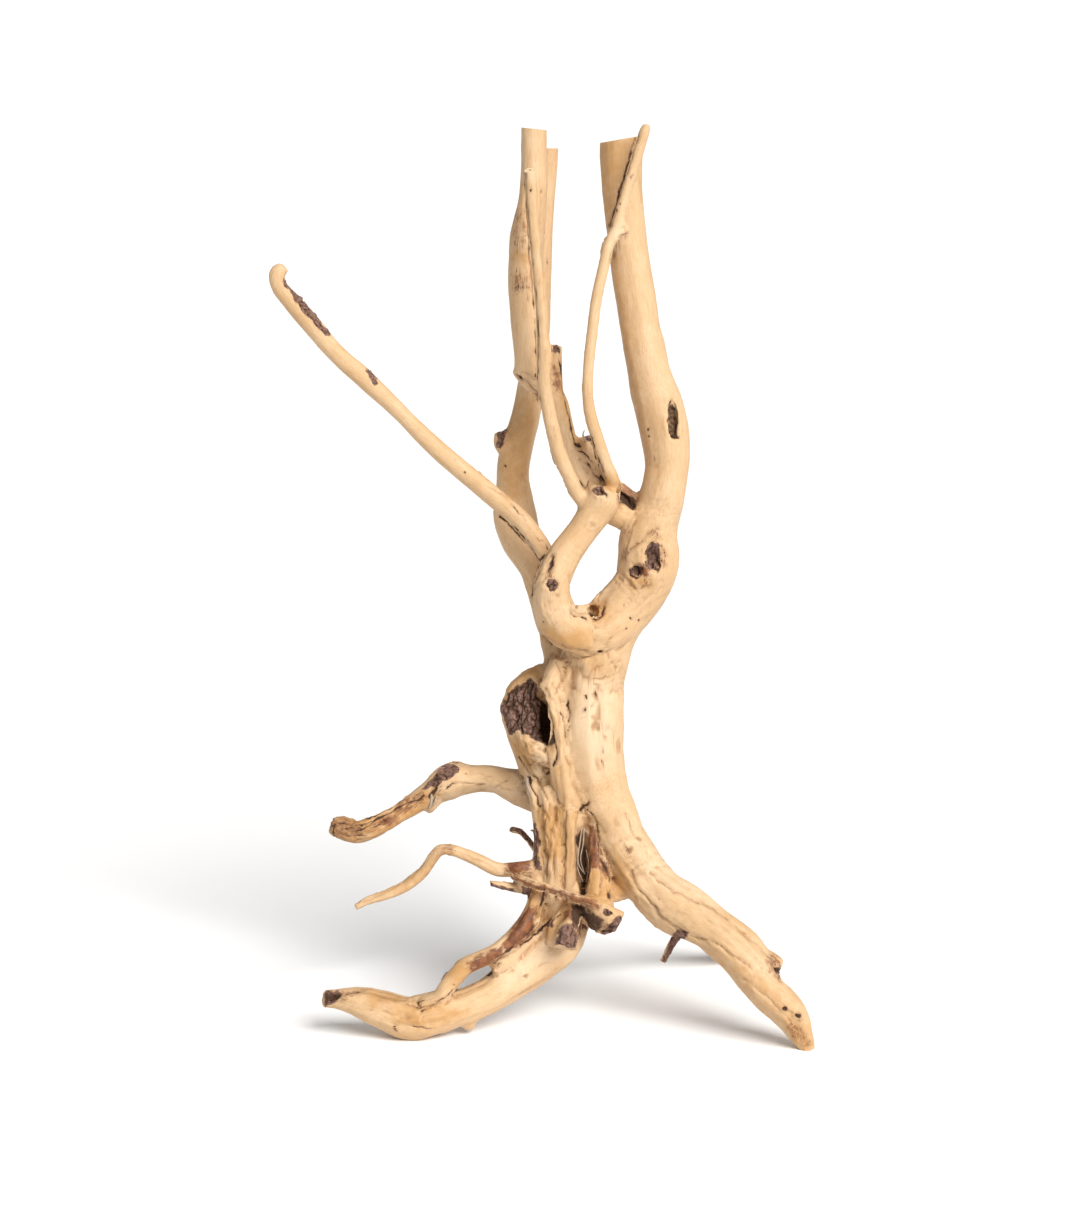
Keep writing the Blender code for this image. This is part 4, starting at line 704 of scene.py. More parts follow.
# Golden wood: golden stains, and painted shade on shaded sides, undersides and in hollows.
GOLD_AND_SHADE = {
    "stem_band": (1.0, [(510, 252), (528, 252), (528, 264), (510, 264)]),
    "knot_gold": (1.0, [(604, 478), (620, 476), (620, 491), (606, 491)]),
    "bulb_low": (1.0, [(541, 624), (562, 632), (590, 630), (590, 648), (560, 648), (544, 640)]),
    "crotch_inside": (1.0, [(590, 602), (607, 602), (607, 620), (592, 620)]),
    "neck_dip": (0.5, [(590, 662), (606, 662), (606, 674), (590, 674)]),
    "stub_rim": (1.0, [(541, 665), (530, 668), (519, 678), (508, 690), (501, 702), (505, 702), (513, 692),
                 (523, 682), (532, 676), (541, 676)]),
    "lip_left": (1.0, [(511, 738), (530, 744), (534, 768), (526, 769), (517, 756)]),
    "column_gold": (1.0, [(538, 808), (565, 806), (566, 858), (540, 862)]),
    "inner_root_gold": (1.0, [(587, 868), (611, 866), (612, 900), (588, 902)]),
    "web_gold": (1.0, [(611, 872), (626, 872), (626, 898), (612, 898)]),
    "strand": (1.0, [(566, 900), (586, 898), (580, 908), (562, 922), (552, 936), (546, 936), (552, 920)]),
    "red_root_top": (1.0, [(528, 888), (541, 888), (541, 916), (526, 918)]),
    "red_root_knee": (1.0, [(452, 962), (468, 960), (470, 978), (456, 986), (448, 976)]),
    "upper_root_side": (0.9, [(392, 808), (424, 793), (430, 802), (404, 818), (380, 830), (362, 836)]),
    "fold_gold": (1.0, [(629, 577), (652, 577), (652, 586), (630, 588)]),
    "leg_end_gold": (0.6, [(740, 960), (775, 985), (800, 1015), (786, 1020), (762, 995), (735, 970)]),
    "upper_root_left": (1.0, [(330, 822), (350, 820), (366, 824), (350, 838), (336, 834)]),
    "left_leg_low": (0.8, [(390, 1000), (440, 1004), (470, 1010), (460, 1020), (420, 1030), (390, 1020)]),
    "left_leg_knee": (1.0, [(366, 992), (400, 990), (408, 1002), (372, 1006)]),
    "u_root_end": (1.0, [(325, 820), (350, 816), (392, 812), (425, 790), (438, 796), (420, 812), (380, 834),
                         (350, 842), (330, 834)]),
    "leg_tip_gold": (0.9, [(784, 1018), (800, 1022), (814, 1046), (806, 1052), (790, 1040)]),
    "trunk_left_strip": (0.55, [(541, 700), (556, 720), (562, 760), (572, 800), (560, 806), (545, 780)]),
    "m_left_face": (0.7, [(601, 140), (634, 136), (626, 165), (613, 205), (606, 214)]),
    "m_left_edge": (0.6, [
        (612, 240), (619, 250), (630, 320), (640, 400), (648, 450), (640, 452), (630, 400), (620, 320)]),
    "back_stem": (0.6, [
        (498, 392), (520, 388), (538, 400), (530, 470), (525, 500), (502, 500), (500, 440)]),
    "hollow_stub": (0.8, [(556, 358), (563, 362), (572, 410), (584, 450), (576, 452), (562, 404)]),
    "thin_root_low": (0.7, [(402, 882), (440, 852), (452, 856), (425, 882), (380, 900), (355, 902)]),
    "right_leg_low": (0.5, [(690, 936), (730, 962), (780, 1012), (770, 1016), (720, 970), (684, 945)]),
    "web_brown": (0.8, [(612, 842), (630, 866), (634, 890), (622, 896), (612, 872)]),
    "middle_low": (0.6, [(560, 812), (578, 812), (576, 868), (563, 888)]),
}
# Pale wood has an outline only.
PALE = {
    "twig_cut": [(523, 168), (536, 167), (536, 175), (524, 178)],
    "stub_end": [(556, 944), (566, 946), (574, 950), (571, 957), (560, 952)],
    "red_root_pale": [(496, 942), (510, 940), (510, 952), (498, 955)],
    "lip_right": [(541, 742), (552, 748), (553, 764), (544, 774), (536, 768)],
    "flake": [(518, 777), (526, 779), (532, 796), (528, 800), (522, 790)],
    "trunk_pale": [(576, 680), (612, 680), (618, 730), (612, 770), (590, 776), (574, 740)],
    "leg_pale": [(640, 842), (664, 856), (700, 884), (724, 902), (715, 905), (684, 890), (650, 868)],
    "left_leg_pale": [(540, 934), (556, 950), (570, 958), (530, 976), (506, 990), (496, 975)],
    "upper_root_pale": [(446, 790), (484, 787), (520, 796), (500, 792), (460, 795), (440, 805)],
    "bulb_rim": [(566, 606), (580, 605), (589, 612), (586, 620), (576, 612), (568, 612)],
    "knot_pale": [(594, 590), (608, 589), (608, 600), (596, 603)],
    "node_pale": [(610, 226), (624, 226), (624, 242), (612, 242)],
}
# Deep shade in gaps: strength, width of the soft edge in pixels, outline.
SHADE = {
    "stub_wedge": (0.95, 6, [
        (537, 692), (543, 699), (548, 712), (551, 728), (555, 745), (550, 746), (543, 740), (541, 725),
        (539, 705)]),
    "black_slot": (1.0, 6, [(580, 872), (587, 872), (587, 895), (581, 895)]),
    "cavity_deep": (0.95, 6, [(577, 836), (583, 830), (585, 850), (586, 872), (578, 874)]),
    "under_bulb": (0.36, 12, [(541, 640), (552, 652), (562, 656), (552, 664), (544, 668)]),
    "stub_upper": (0.9, 6, [(571, 905), (582, 905), (583, 915), (582, 928), (577, 927), (571, 918)]),
    "root_behind": (0.38, 14, [(515, 776), (530, 776), (532, 806), (524, 800), (517, 790)]),
    "loop_slit": (0.9, 5, [(550, 557), (553.5, 557), (550, 568), (547, 570), (547.5, 563)]),
    "bridge_gap": (0.95, 6, [
        (618, 491), (626, 493), (634, 497), (637, 500), (632, 509), (626, 505), (619, 503)]),
    "main_slit": (0.56, 4, [
        (671.5, 401), (668.5, 410), (668.3, 422), (670.5, 434), (674, 440), (679, 438), (677, 428),
        (676.3, 415), (674.5, 404)]),
    "u_root_foot": (0.4, 16, [(498, 770), (526, 772), (528, 806), (512, 800)]),
    "leg_tip_shade": (0.35, 10, [(372, 992), (412, 990), (414, 998), (380, 1004)]),
    "behind_bark_disc": (0.4, 8, [(561, 900), (575, 905), (572, 920), (558, 924)]),
    "cup": (0.62, 6, [
        (582, 906), (590, 908), (598, 914), (606, 920), (604, 927), (600, 933), (592, 935), (583, 930),
        (580, 918)]),
    "cup_deep": (0.9, 7, [(578, 904), (586, 907), (586, 920), (583, 929), (578, 926)]),
    "u_tip_shade": (0.42, 10, [(324, 822), (345, 816), (366, 824), (366, 840), (340, 842), (328, 836)]),
    "leg_hollow_end": (0.78, 8, [(324, 1001), (327, 995), (334, 992), (341, 993), (339, 999), (332, 1003)]),
    "thin_root_side": (0.26, 6, [(402, 880), (425, 862), (438, 848), (446, 852), (430, 868), (405, 886)]),
}
# Where the wood is dry and rough, with fibres standing proud: strength and outline.
ROUGH = {
    "column": (1.0, [(536, 806), (566, 804), (568, 868), (560, 892), (540, 872)]),
    "red_root_top": (0.8, [
        (528, 888), (542, 888), (540, 918), (516, 948), (500, 960), (478, 970), (470, 962), (500, 944),
        (522, 920)]),
    "u_root": (0.9, [
        (325, 820), (350, 816), (380, 812), (420, 784), (446, 790), (432, 806), (392, 830), (350, 842),
        (330, 836)]),
    "left_leg_end": (0.6, [
        (325, 990), (370, 986), (420, 1000), (470, 1000), (455, 1022), (410, 1032), (360, 1020)]),
    "knuckle": (0.8, [(405, 1000), (430, 995), (455, 985), (460, 998), (436, 1010), (412, 1014)]),
    "lip": (0.8, [(512, 738), (552, 744), (556, 766), (540, 784), (524, 772)]),
    "flake": (0.7, [(516, 776), (534, 776), (540, 812), (528, 806)]),
    "trunk_low": (0.6, [
        (558, 750), (572, 770), (586, 810), (584, 868), (566, 868), (560, 810), (552, 780)]),
    "leg_tip": (1.0, [(778, 1008), (800, 1014), (816, 1046), (806, 1054), (786, 1034)]),
    "torn_stub": (0.6, [(574, 440), (596, 440), (606, 478), (588, 474)]),
    "stub_rim": (0.7, [(541, 664), (525, 670), (504, 694), (500, 708), (508, 706), (524, 684), (541, 678)]),
    "right_leg": (0.4, [(640, 870), (700, 930), (770, 1000), (750, 990), (690, 945), (650, 905)]),
    "thin_root": (0.4, [
        (355, 900), (402, 880), (440, 846), (510, 862), (508, 872), (450, 858), (410, 888)]),
    "left_leg": (0.35, [(440, 990), (520, 960), (600, 900), (610, 930), (560, 975), (480, 1015)]),
    "back_stem": (0.3, [(498, 392), (535, 392), (528, 500), (502, 500)]),
    "inner_root": (0.5, [(586, 826), (602, 832), (612, 868), (612, 902), (588, 902)]),
}
print(len(CREASES), "creases,", len(BARK), "bark patches,", len(ROUND_MARKS), "round marks")
# %% [markdown]
# ## More faces where the marks are
# A crack half a millimetre wide needs smaller faces than a plain stem. A Decimate modifier first thins the
# whole skin evenly, so that the piece stays light. After the ends are cut, the faces near the marks are
# subdivided. A finer skin all over would be heavier for nothing.
# %% Distances in the picture
def box_near(spots, line, reach):
    """Which spots lie in the box round a line, widened by a reach in pixels."""
    corners = np.array(line, dtype=float)
    least, most = corners.min(axis=0) - reach, corners.max(axis=0) + reach
    return np.flatnonzero(((spots > least) & (spots < most)).all(axis=1))


FAR = 99.0
WIDEST_MARK = 14.0
TINY = 1e-9


def to_line(all_spots, line):
    """How far each spot is from a line of joined points, in pixels. Spots far away all get FAR."""
    near = box_near(all_spots, line, WIDEST_MARK)
    spots = all_spots[near]
    nearest = np.full(len(spots), FAR)
    for start, end in zip(line[:-1], line[1:]):
        a = np.array(start, dtype=float)
        run = np.array(end, dtype=float) - a
        along = np.clip(((spots - a) @ run) / max(run @ run, TINY), 0, 1)
        gap = spots - a - along[:, None] * run
        nearest = np.minimum(nearest, np.hypot(gap[:, 0], gap[:, 1]))
    every = np.full(len(all_spots), FAR)
    every[near] = nearest
    return every


def into_patch(spots, outline):
    """How far each spot is inside an outline, in pixels. Outside it is negative."""
    ring = list(outline) + [outline[0]]
    near = box_near(spots, outline, 0.0)
    within = np.zeros(len(near), dtype=bool)
    x, y = spots[near, 0], spots[near, 1]
    for (ax, ay), (bx, by) in zip(ring[:-1], ring[1:]):
        crosses = (ay > y) != (by > y)
        reach = ax + (y - ay) * (bx - ax) / ((by - ay) if by != ay else TINY)
        within ^= crosses & (x < reach)
    inside = np.zeros(len(spots), dtype=bool)
    inside[near] = within
    return np.where(inside, 1.0, -1.0) * to_line(spots, ring)


def into_round(spots, mark):
    """Distance from the middle of a round mark, where 1 is its rim."""
    x, y, half_wide, half_tall, turn = mark[:5]
    angle = math.radians(turn)
    dx, dy = spots[:, 0] - x, spots[:, 1] - y
    along = (dx * math.cos(angle) + dy * math.sin(angle)) / half_wide
    over = (dy * math.cos(angle) - dx * math.sin(angle)) / half_tall
    return np.hypot(along, over)


def fans():
    """Every single line of the fans of wrinkles, with its half width, depth and darkness."""
    for line, (step_x, step_y), count, half, depth, dark in WRINKLES.values():
        for number in range(count):
            moved = [(x + step_x * number, y + step_y * number) for x, y in line]
            yield half, depth, dark, moved


ALL_LINES = list(CREASES.values()) + list(fans())
print(len(ALL_LINES), "lines in all")


# %% What the eye sees
def read_points(thing):
    places = np.empty(len(thing.data.vertices) * 3)
    thing.data.vertices.foreach_get("co", places)
    return places.reshape(-1, 3)


def read_normals(thing):
    normals = np.empty(len(thing.data.vertices) * 3)
    thing.data.vertices.foreach_get("normal", normals)
    return normals.reshape(-1, 3)


def seen_from(thing, eye, chosen):
    """Which of the chosen points of a mesh can be seen from a place."""
    tree = BVHTree.FromObject(thing, bpy.context.evaluated_depsgraph_get())
    places, normals = read_points(thing), read_normals(thing)
    seen = np.zeros(len(places), dtype=bool)
    for index in np.flatnonzero(chosen):
        place = Vector(places[index])
        normal = Vector(normals[index])
        way = eye - place
        if normal.dot(way) < 0.0:
            continue
        hit = tree.ray_cast(place + normal * 0.5 * MM, way.normalized(), way.length)[0]
        seen[index] = hit is None
    return seen


# %% Even triangles, and how faces near the marks are split
EVEN_TRIANGLES = 88000


def in_edit_mode(thing):
    nothing_selected()
    bpy.context.view_layer.objects.active = thing
    thing.select_set(True)
    bpy.ops.object.mode_set(mode="EDIT")
    bpy.ops.mesh.select_mode(type="FACE")


def all_to_triangles():
    bpy.ops.mesh.select_all(action="SELECT")
    bpy.ops.mesh.quads_convert_to_tris(quad_method="BEAUTY", ngon_method="BEAUTY")


def face_corners(thing):
    """The three points of every triangle."""
    corners = np.empty(len(thing.data.loops), dtype=np.int32)
    thing.data.loops.foreach_get("vertex_index", corners)
    return corners.reshape(-1, 3)


in_edit_mode(wood)
all_to_triangles()
bpy.ops.object.mode_set(mode="OBJECT")
thin = wood.modifiers.new("Thin", "DECIMATE")
thin.ratio = EVEN_TRIANGLES / len(wood.data.polygons)
apply_modifiers(wood)
print("thinned to", len(wood.data.polygons), "triangles", seconds())


def near_marks(spots, margin, least_dark):
    near = np.zeros(len(spots), dtype=bool)
    for half, depth, dark, line in ALL_LINES:
        if dark >= least_dark:
            near |= to_line(spots, line) < half + margin
    for outline in BARK.values():
        near |= np.abs(into_patch(spots, outline)) < margin
    for mark in ROUND_MARKS.values():
        near |= into_round(spots, mark) < 1.0 + 0.3 * margin
    for x, y in PITS:
        near |= np.hypot(spots[:, 0] - x, spots[:, 1] - y) < 1.2 + margin
    return near


def split_faces(thing, margin, least_dark):
    """Subdivide the faces that have a point near a mark, as far as the eye sees that point."""
    spots = as_pictured(read_points(thing))
    chosen = seen_from(thing, EYE, near_marks(spots, margin, least_dark))
    touched = chosen[face_corners(thing)].any(axis=1)
    in_edit_mode(thing)
    bpy.ops.mesh.select_all(action="DESELECT")
    bpy.ops.object.mode_set(mode="OBJECT")
    thing.data.polygons.foreach_set("select", touched)
    bpy.ops.object.mode_set(mode="EDIT")
    bpy.ops.mesh.subdivide(number_cuts=1, smoothness=0)
    all_to_triangles()
    bpy.ops.object.mode_set(mode="OBJECT")
    print("finer near marks:", len(thing.data.polygons), "triangles", seconds())


# %% [markdown]
# ## Sawn ends and feet
# The stems were sawn off, so their ends are flat and crisp. They are cut last, with blocks, and so is the
# ground, on which three places of the roots stand.
# %% Cut the ends and the feet
HALF_BLOCK = 7   # half the height of the cutting block
for across, up, back, looks, half_width in CUT_ENDS.values():
    turn = Vector(looks).to_track_quat("Z", "Y")
    middle = seen_at(across, up, back)[0] + Vector(looks).normalized() * HALF_BLOCK * MM
    nothing_selected()
    bpy.ops.mesh.primitive_cube_add(size=1.0, location=middle, rotation=turn.to_euler())
    block = bpy.context.object
    block.scale = (2 * half_width * MM, 2 * half_width * MM, 2 * HALF_BLOCK * MM)
    take_away(wood, block)
nothing_selected()
bpy.ops.mesh.primitive_cube_add(size=1.0, location=(0, 0, -0.05))
bpy.context.object.scale = (0.8, 0.8, 0.1)
take_away(wood, bpy.context.object)
in_edit_mode(wood)
all_to_triangles()
bpy.ops.mesh.remove_doubles(threshold=0.02 * MM)
bpy.ops.mesh.normals_make_consistent(inside=False)
bpy.ops.object.mode_set(mode="OBJECT")
print("with sawn ends", len(wood.data.polygons), seconds())
# %% Finer faces near the marks: once near all of them, once more near the dark ones
split_faces(wood, margin=1.2, least_dark=0.0)
split_faces(wood, margin=0.0, least_dark=0.75)
# %% [markdown]
# ## The way the fibres run
# Wood splits and weathers along its fibres, and they follow the limbs. Every point of the skin finds the
# limbs near it, mixes their directions, and gets its place in the nearest limb as if that limb were
# straight: across, across the other way, and along. Fluting, streaks and rings all read this.
# %% Points along every limb
SAMPLE_STEP = 2.2 * MM


def knot(across, up, back, width):
    place, share = seen_at(across, up, back)
    return [*place, width / 2 * share * MM]


def limb_samples(stations):
    """Evenly spread middle points of one limb, with direction, two cross directions, width and length."""
    knots = np.array([knot(*station) for station in stations])
    ends = np.vstack([2 * knots[0] - knots[1], knots, 2 * knots[-1] - knots[-2]])
    points = []
    for before, start, end, after in zip(ends[:-3], ends[1:-2], ends[2:-1], ends[3:]):
        steps = max(2, int(np.linalg.norm(end[:3] - start[:3]) / SAMPLE_STEP))
        for t in np.arange(steps) / steps:
            points.append(0.5 * (2 * start + (end - before) * t
                                 + (2 * before - 5 * start + 4 * end - after) * t * t
                                 + (3 * start - before - 3 * end + after) * t ** 3))
    points.append(knots[-1])
    points = np.array(points)
    middle, radius = points[:, :3], points[:, 3]
    run = np.gradient(middle, axis=0)
    run /= np.linalg.norm(run, axis=1)[:, None]
    length = np.concatenate([[0], np.cumsum(np.linalg.norm(np.diff(middle, axis=0), axis=1))])
    side = np.empty_like(run)
    side[0] = np.cross(run[0], [0.0, 0.3, 0.1] if abs(run[0][2]) > 0.5 else [0.1, 0.0, 1.0])
    for index in range(1, len(run)):
        side[index] = side[index - 1]
        side[index] -= (side[index] @ run[index]) * run[index]
    side /= np.linalg.norm(side, axis=1)[:, None]
    return middle, radius, run, side, length


LIMB_SHIFT = 0.37   # metres along the fibres from limb to limb, so that no two have the same grain
parts = [limb_samples(stations) for stations in LIMBS.values()]
limb_starts = np.cumsum([0] + [len(part[0]) for part in parts])[:-1]
middles, radii, runs, sides, lengths = [
    np.concatenate([part[i] for part in parts]).astype(np.float32) for i in range(5)]
lengths = lengths + np.repeat(np.arange(len(parts)) * LIMB_SHIFT, [len(part[0]) for part in parts])
others = np.cross(runs, sides)
print(len(middles), "points along", len(parts), "limbs")


# %% Fibre direction and straightened place of every point
CHUNK = 4000


def fibre_field(places):
    """For every point: fibre direction, straightened place, distance to a seam, and radius of its limb."""
    fibres = np.empty_like(places)
    straight = np.empty_like(places)
    seam = np.empty(len(places))
    girth = np.empty(len(places))
    squares = np.stack([runs[:, i] * runs[:, j] for i in range(3) for j in range(3)], axis=1)
    for first in range(0, len(places), CHUNK):
        rows = slice(first, first + CHUNK)
        chunk = places[rows].astype(np.float32)
        gap = (chunk ** 2).sum(1)[:, None] + (middles ** 2).sum(1) - 2 * chunk @ middles.T
        out = np.sqrt(np.maximum(gap, 0)) - radii
        best = out.argmin(1)
        least = out[np.arange(len(chunk)), best]
        weight = np.exp(-(out - least[:, None]) / (1.5 * MM))
        tensor = (weight @ squares).reshape(-1, 3, 3)
        way = runs[best]
        for _ in range(6):
            way = np.einsum("nij,nj->ni", tensor, way)
            way /= np.linalg.norm(way, axis=1)[:, None]
        fibres[rows] = way
        offset = chunk - middles[best]
        straight[rows, 0] = (offset * sides[best]).sum(1)
        straight[rows, 1] = (offset * others[best]).sum(1)
        straight[rows, 2] = lengths[best] + (offset * runs[best]).sum(1)
        girth[rows] = radii[best]
        per_limb = np.minimum.reduceat(out, limb_starts, axis=1)
        per_limb.partition(1, axis=1)
        seam[rows] = per_limb[:, 1] - per_limb[:, 0]
    return fibres, straight, seam, girth


places = read_points(wood)
normals = read_normals(wood)
fibres, straight, seam, girth = fibre_field(places)
fibres -= (fibres * normals).sum(1)[:, None] * normals
fibres /= np.maximum(np.linalg.norm(fibres, axis=1), 1e-6)[:, None]
print("fibres read", seconds())


# %% Smooth random values in space, and the same drawn out along the fibres
def soft_noise(points, size, seed):
    """Smooth random values between 0 and 1, one bump for each size in metres."""
    where = points / size + seed * 17.31
    cell = np.floor(where).astype(np.int64)
    part = where - cell
    part = part * part * (3 - 2 * part)
    total = np.zeros(len(points))
    for corner in range(8):
        step = np.array([corner & 1, corner >> 1 & 1, corner >> 2 & 1])
        x, y, z = (cell + step).T
        mixed = (x * 374761393 + y * 668265263 + z * 1440670441 + seed * 1013) & 0xFFFFFFFF
        mixed = ((mixed ^ (mixed >> 13)) * 1274126177) & 0xFFFFFFFF
        value = ((mixed ^ (mixed >> 16)) & 0xFFFF) / 65535.0
        total += value * np.prod(np.where(step, part, 1 - part), axis=1)
    return total


def drawn_out(size, length, seed):
    """Random streaks along the fibres, with middle 0 and a usual size of 1."""
    total = np.zeros(len(places))
    for t in np.linspace(-0.5, 0.5, 11):
        total += soft_noise(places + fibres * t * length, size, seed)
    total -= total.mean()
    return total / total.std()


flutes = drawn_out(5.0 * MM, 44.0 * MM, 3)
streaks = drawn_out(2.2 * MM, 26.0 * MM, 5)
fine_streaks = drawn_out(1.1 * MM, 14.0 * MM, 7)
lumps = soft_noise(places, 16.0 * MM, 9) + 0.3 * soft_noise(places, 7.0 * MM, 11) - 0.65
print("noise made", seconds())
# %% [markdown]
# ## Carving
# Each point is moved along its normal by the sum of all the small forms: low lumps, flutes along the
# fibres, the marks of the picture where the eye sees them, and cracks and knots of the same kinds all
# round. This is what a sculpting brush does. No plain operator gives these forms, and a brush stroke can't
# be made again so exactly.
# %% Press the marks of the picture into the skin
WORN_ENDS = ("left_leg_end", "barked_stub_end", "middle_stub_end")   # broken, not sawn
BEND = 3.0   # pixels by which the marks wander from their lines
spots = as_pictured(places)
sawn = np.zeros(len(places), dtype=bool)
for name, (across, up, back, looks, half_width) in CUT_ENDS.items():
    if name in WORN_ENDS:
        continue
    out = np.array(Vector(looks).normalized())
    away = places - np.array(seen_at(across, up, back)[0])
    sawn |= (np.abs(away @ out) < 0.15 * MM) & (np.linalg.norm(away, axis=1) < 1.5 * half_width * MM)
on_ground = places[:, 2] < 0.1 * MM
seen = seen_from(wood, EYE, np.ones(len(places), dtype=bool))
front = seen.astype(float)
print("seen points near marks", int(seen.sum()), seconds())

push, crack_and_shade, bark, rust, gold_and_shade, pale, rough_zone = (np.zeros(len(places)) for _ in range(7))
wander = (soft_noise(places, 2.0 * MM, 21) - 0.5) * 1.8
strength = 0.14 + 1.2 * soft_noise(places, 4.5 * MM, 23)
widths = 0.32 + 0.95 * soft_noise(places, 2.6 * MM, 55)
bent = np.stack([soft_noise(places, 3.4 * MM, seed) + 0.5 * soft_noise(places, 1.4 * MM, seed + 1) - 0.75
                 for seed in (51, 53)], axis=1)
spots = spots + BEND * bent
# Each line's darkness is painted shade in its crease or wrinkle.
for half, depth, dark, line in ALL_LINES:
    gap = to_line(spots, line)
    push -= front * depth * MM * np.exp(-(gap / (half * (0.5 + 0.5 * widths))) ** 2)
    profile = np.clip(1.1 - gap / (half * widths + 0.55), 0, 1)
    crack_and_shade = np.maximum(crack_and_shade, front * dark * strength * profile)
for outline in BARK.values():
    depth = into_patch(spots, outline) + wander * 0.8
    bark = np.maximum(bark, front * np.clip(0.5 + depth / 5.0, 0, 1))
# The golden values carry painted shade on shaded sides as well as golden stains.
for table, mask, fade in ((RUST, rust, 9.0), (GOLD_AND_SHADE, gold_and_shade, 14.0), (PALE, pale, 22.0)):
    for listed in table.values():
        share, outline = listed if table is not PALE else (1.0, listed)
        depth = into_patch(spots, outline) + wander * 1.5
        np.maximum(mask, front * share * np.clip(0.5 + depth / fade, 0, 1), out=mask)
# The deep shade of the gaps is painted into the same dark values as the cracks.
for share, fade, outline in SHADE.values():
    depth = into_patch(spots, outline) + wander
    crack_and_shade = np.maximum(crack_and_shade, front * share * np.clip(0.45 + depth / fade, 0, 1))
    push -= front * share * 0.9 * MM * np.clip(0.4 + depth / 9.0, 0, 1)
for share, outline in ROUGH.values():
    depth = into_patch(spots, outline)
    rough_zone = np.maximum(rough_zone, front * share * np.clip(0.5 + depth / 9.0, 0, 1))
# The darkness of a round mark is painted shade in its dent.
for name, mark in ROUND_MARKS.items():
    ring = into_round(spots, mark)   # 1 at the rim
    depth, dark, rim = mark[5:]
    push -= front * depth * MM * np.exp(-(ring / 0.75) ** 4)
    push += front * rim * 0.6 * MM * np.exp(-((ring - 1.25) / 0.3) ** 2)
    crack_and_shade = np.maximum(crack_and_shade, front * dark * np.clip(1.3 - ring, 0, 1) * 0.8)
    bark = np.maximum(bark, front * np.clip(0.5 + (1 - ring) * 1.5, 0, 1) * (name in BARKED))
# Pits are painted dark with the shade inside them.
for x, y in PITS:
    gap = np.hypot(spots[:, 0] - x, spots[:, 1] - y)
    push -= front * 0.35 * MM * np.exp(-(gap / 1.3) ** 2)
    crack_and_shade = np.maximum(crack_and_shade, front * 0.8 * np.clip(1.3 - gap / 1.6, 0, 1))
# %% Knots, cracks and leftover bark all round
chance = random.Random(12)
KNOTS_BEHIND = 46
PATCHES_BEHIND = 9
hidden = np.flatnonzero(~seen & ~sawn & ~on_ground)
print("points out of the eye's sight", len(hidden))


def ring_round(centre, size, stretch, facing):
    """Distance of the hidden points from a spot, where 1 is the rim of a mark drawn out on the fibres."""
    away = places - places[centre]
    along = away @ fibres[centre]
    over = np.linalg.norm(away - np.outer(along, fibres[centre]), axis=1)
    ring = np.hypot(along / stretch, over) / size
    return np.where((normals @ normals[centre] > facing) & ~seen, ring, 9.0)


for number in range(KNOTS_BEHIND):
    centre = hidden[chance.randrange(len(hidden))]
    size = chance.uniform(1.2, 3.2) * MM
    ring = ring_round(centre, size, stretch=1.35, facing=0.2)
    kind = chance.random()
    push += 0.5 * size * np.exp(-((ring - 1.2) / 0.35) ** 2) * (0.6 if kind < 0.7 else 0.2)
    push -= 0.45 * size * np.exp(-(ring / 0.8) ** 4) * (1.0 if kind < 0.5 else 0.4)
    # The dent of a knot is painted dark, as the shade in it.
    crack_and_shade = np.maximum(crack_and_shade, np.clip(1.0 - ring, 0, 1) * (0.9 if kind < 0.6 else 0.3))
    bark = np.maximum(bark, np.clip(1.1 - ring * 0.7, 0, 1) * (0.9 if kind < 0.45 else 0.0))
for number in range(PATCHES_BEHIND):
    centre = hidden[chance.randrange(len(hidden))]
    size = chance.uniform(5.0, 11.0) * MM
    ring = ring_round(centre, size, stretch=2.4, facing=0.1) + wander * 0.15
    bark = np.maximum(bark, np.clip(0.5 + (1 - ring) * 1.2, 0, 1) * (number % 2))
    rust = np.maximum(rust, np.clip(1.4 - ring, 0, 1) * (1 - number % 2))
wild = drawn_out(1.6 * MM, 34.0 * MM, 31)
gate = soft_noise(places, 26.0 * MM, 33)
split = np.clip((wild - 1.9) / 0.9, 0, 1) * np.clip((gate - 0.45) / 0.15, 0, 1)
split *= np.where(seen, 0.0, 1.0)
split_front = np.clip((wild - 1.15) / 1.0, 0, 1) * rough_zone
split_front = np.maximum(split_front, 0.4 * front * np.clip((wild - 2.0) / 0.8, 0, 1) * (gate > 0.5))
push -= 0.5 * MM * np.maximum(split, split_front)
# Splits are painted dark, as the shade inside them.
crack_and_shade = np.maximum(crack_and_shade, np.maximum(split * 0.8, split_front * 0.48))
# %% Low lumps, flutes and bark crumble, then the move itself
STOUT_RADIUS = 9.0 * MM
STEMS_START = 235 * MM   # above this height the wood is smoother
RIGHT_LEG_START = 45 * MM   # and so it is on the right leg
DEEPEST, HIGHEST = -2.6 * MM, 1.4 * MM
stout = np.clip(girth / STOUT_RADIUS, 0.12, 1.0)
calm = np.where(places[:, 0] > RIGHT_LEG_START, 0.65, 1.0)
calm = np.where(places[:, 2] > STEMS_START, 0.45, calm)
push += (0.34 * flutes + 0.12 * streaks) * stout * calm * MM
push += (1.1 * lumps * stout * calm) * MM
push += 0.02 * fine_streaks * MM
crumble = soft_noise(places, 1.5 * MM, 41) + 0.6 * soft_noise(places, 0.8 * MM, 43) - 0.8


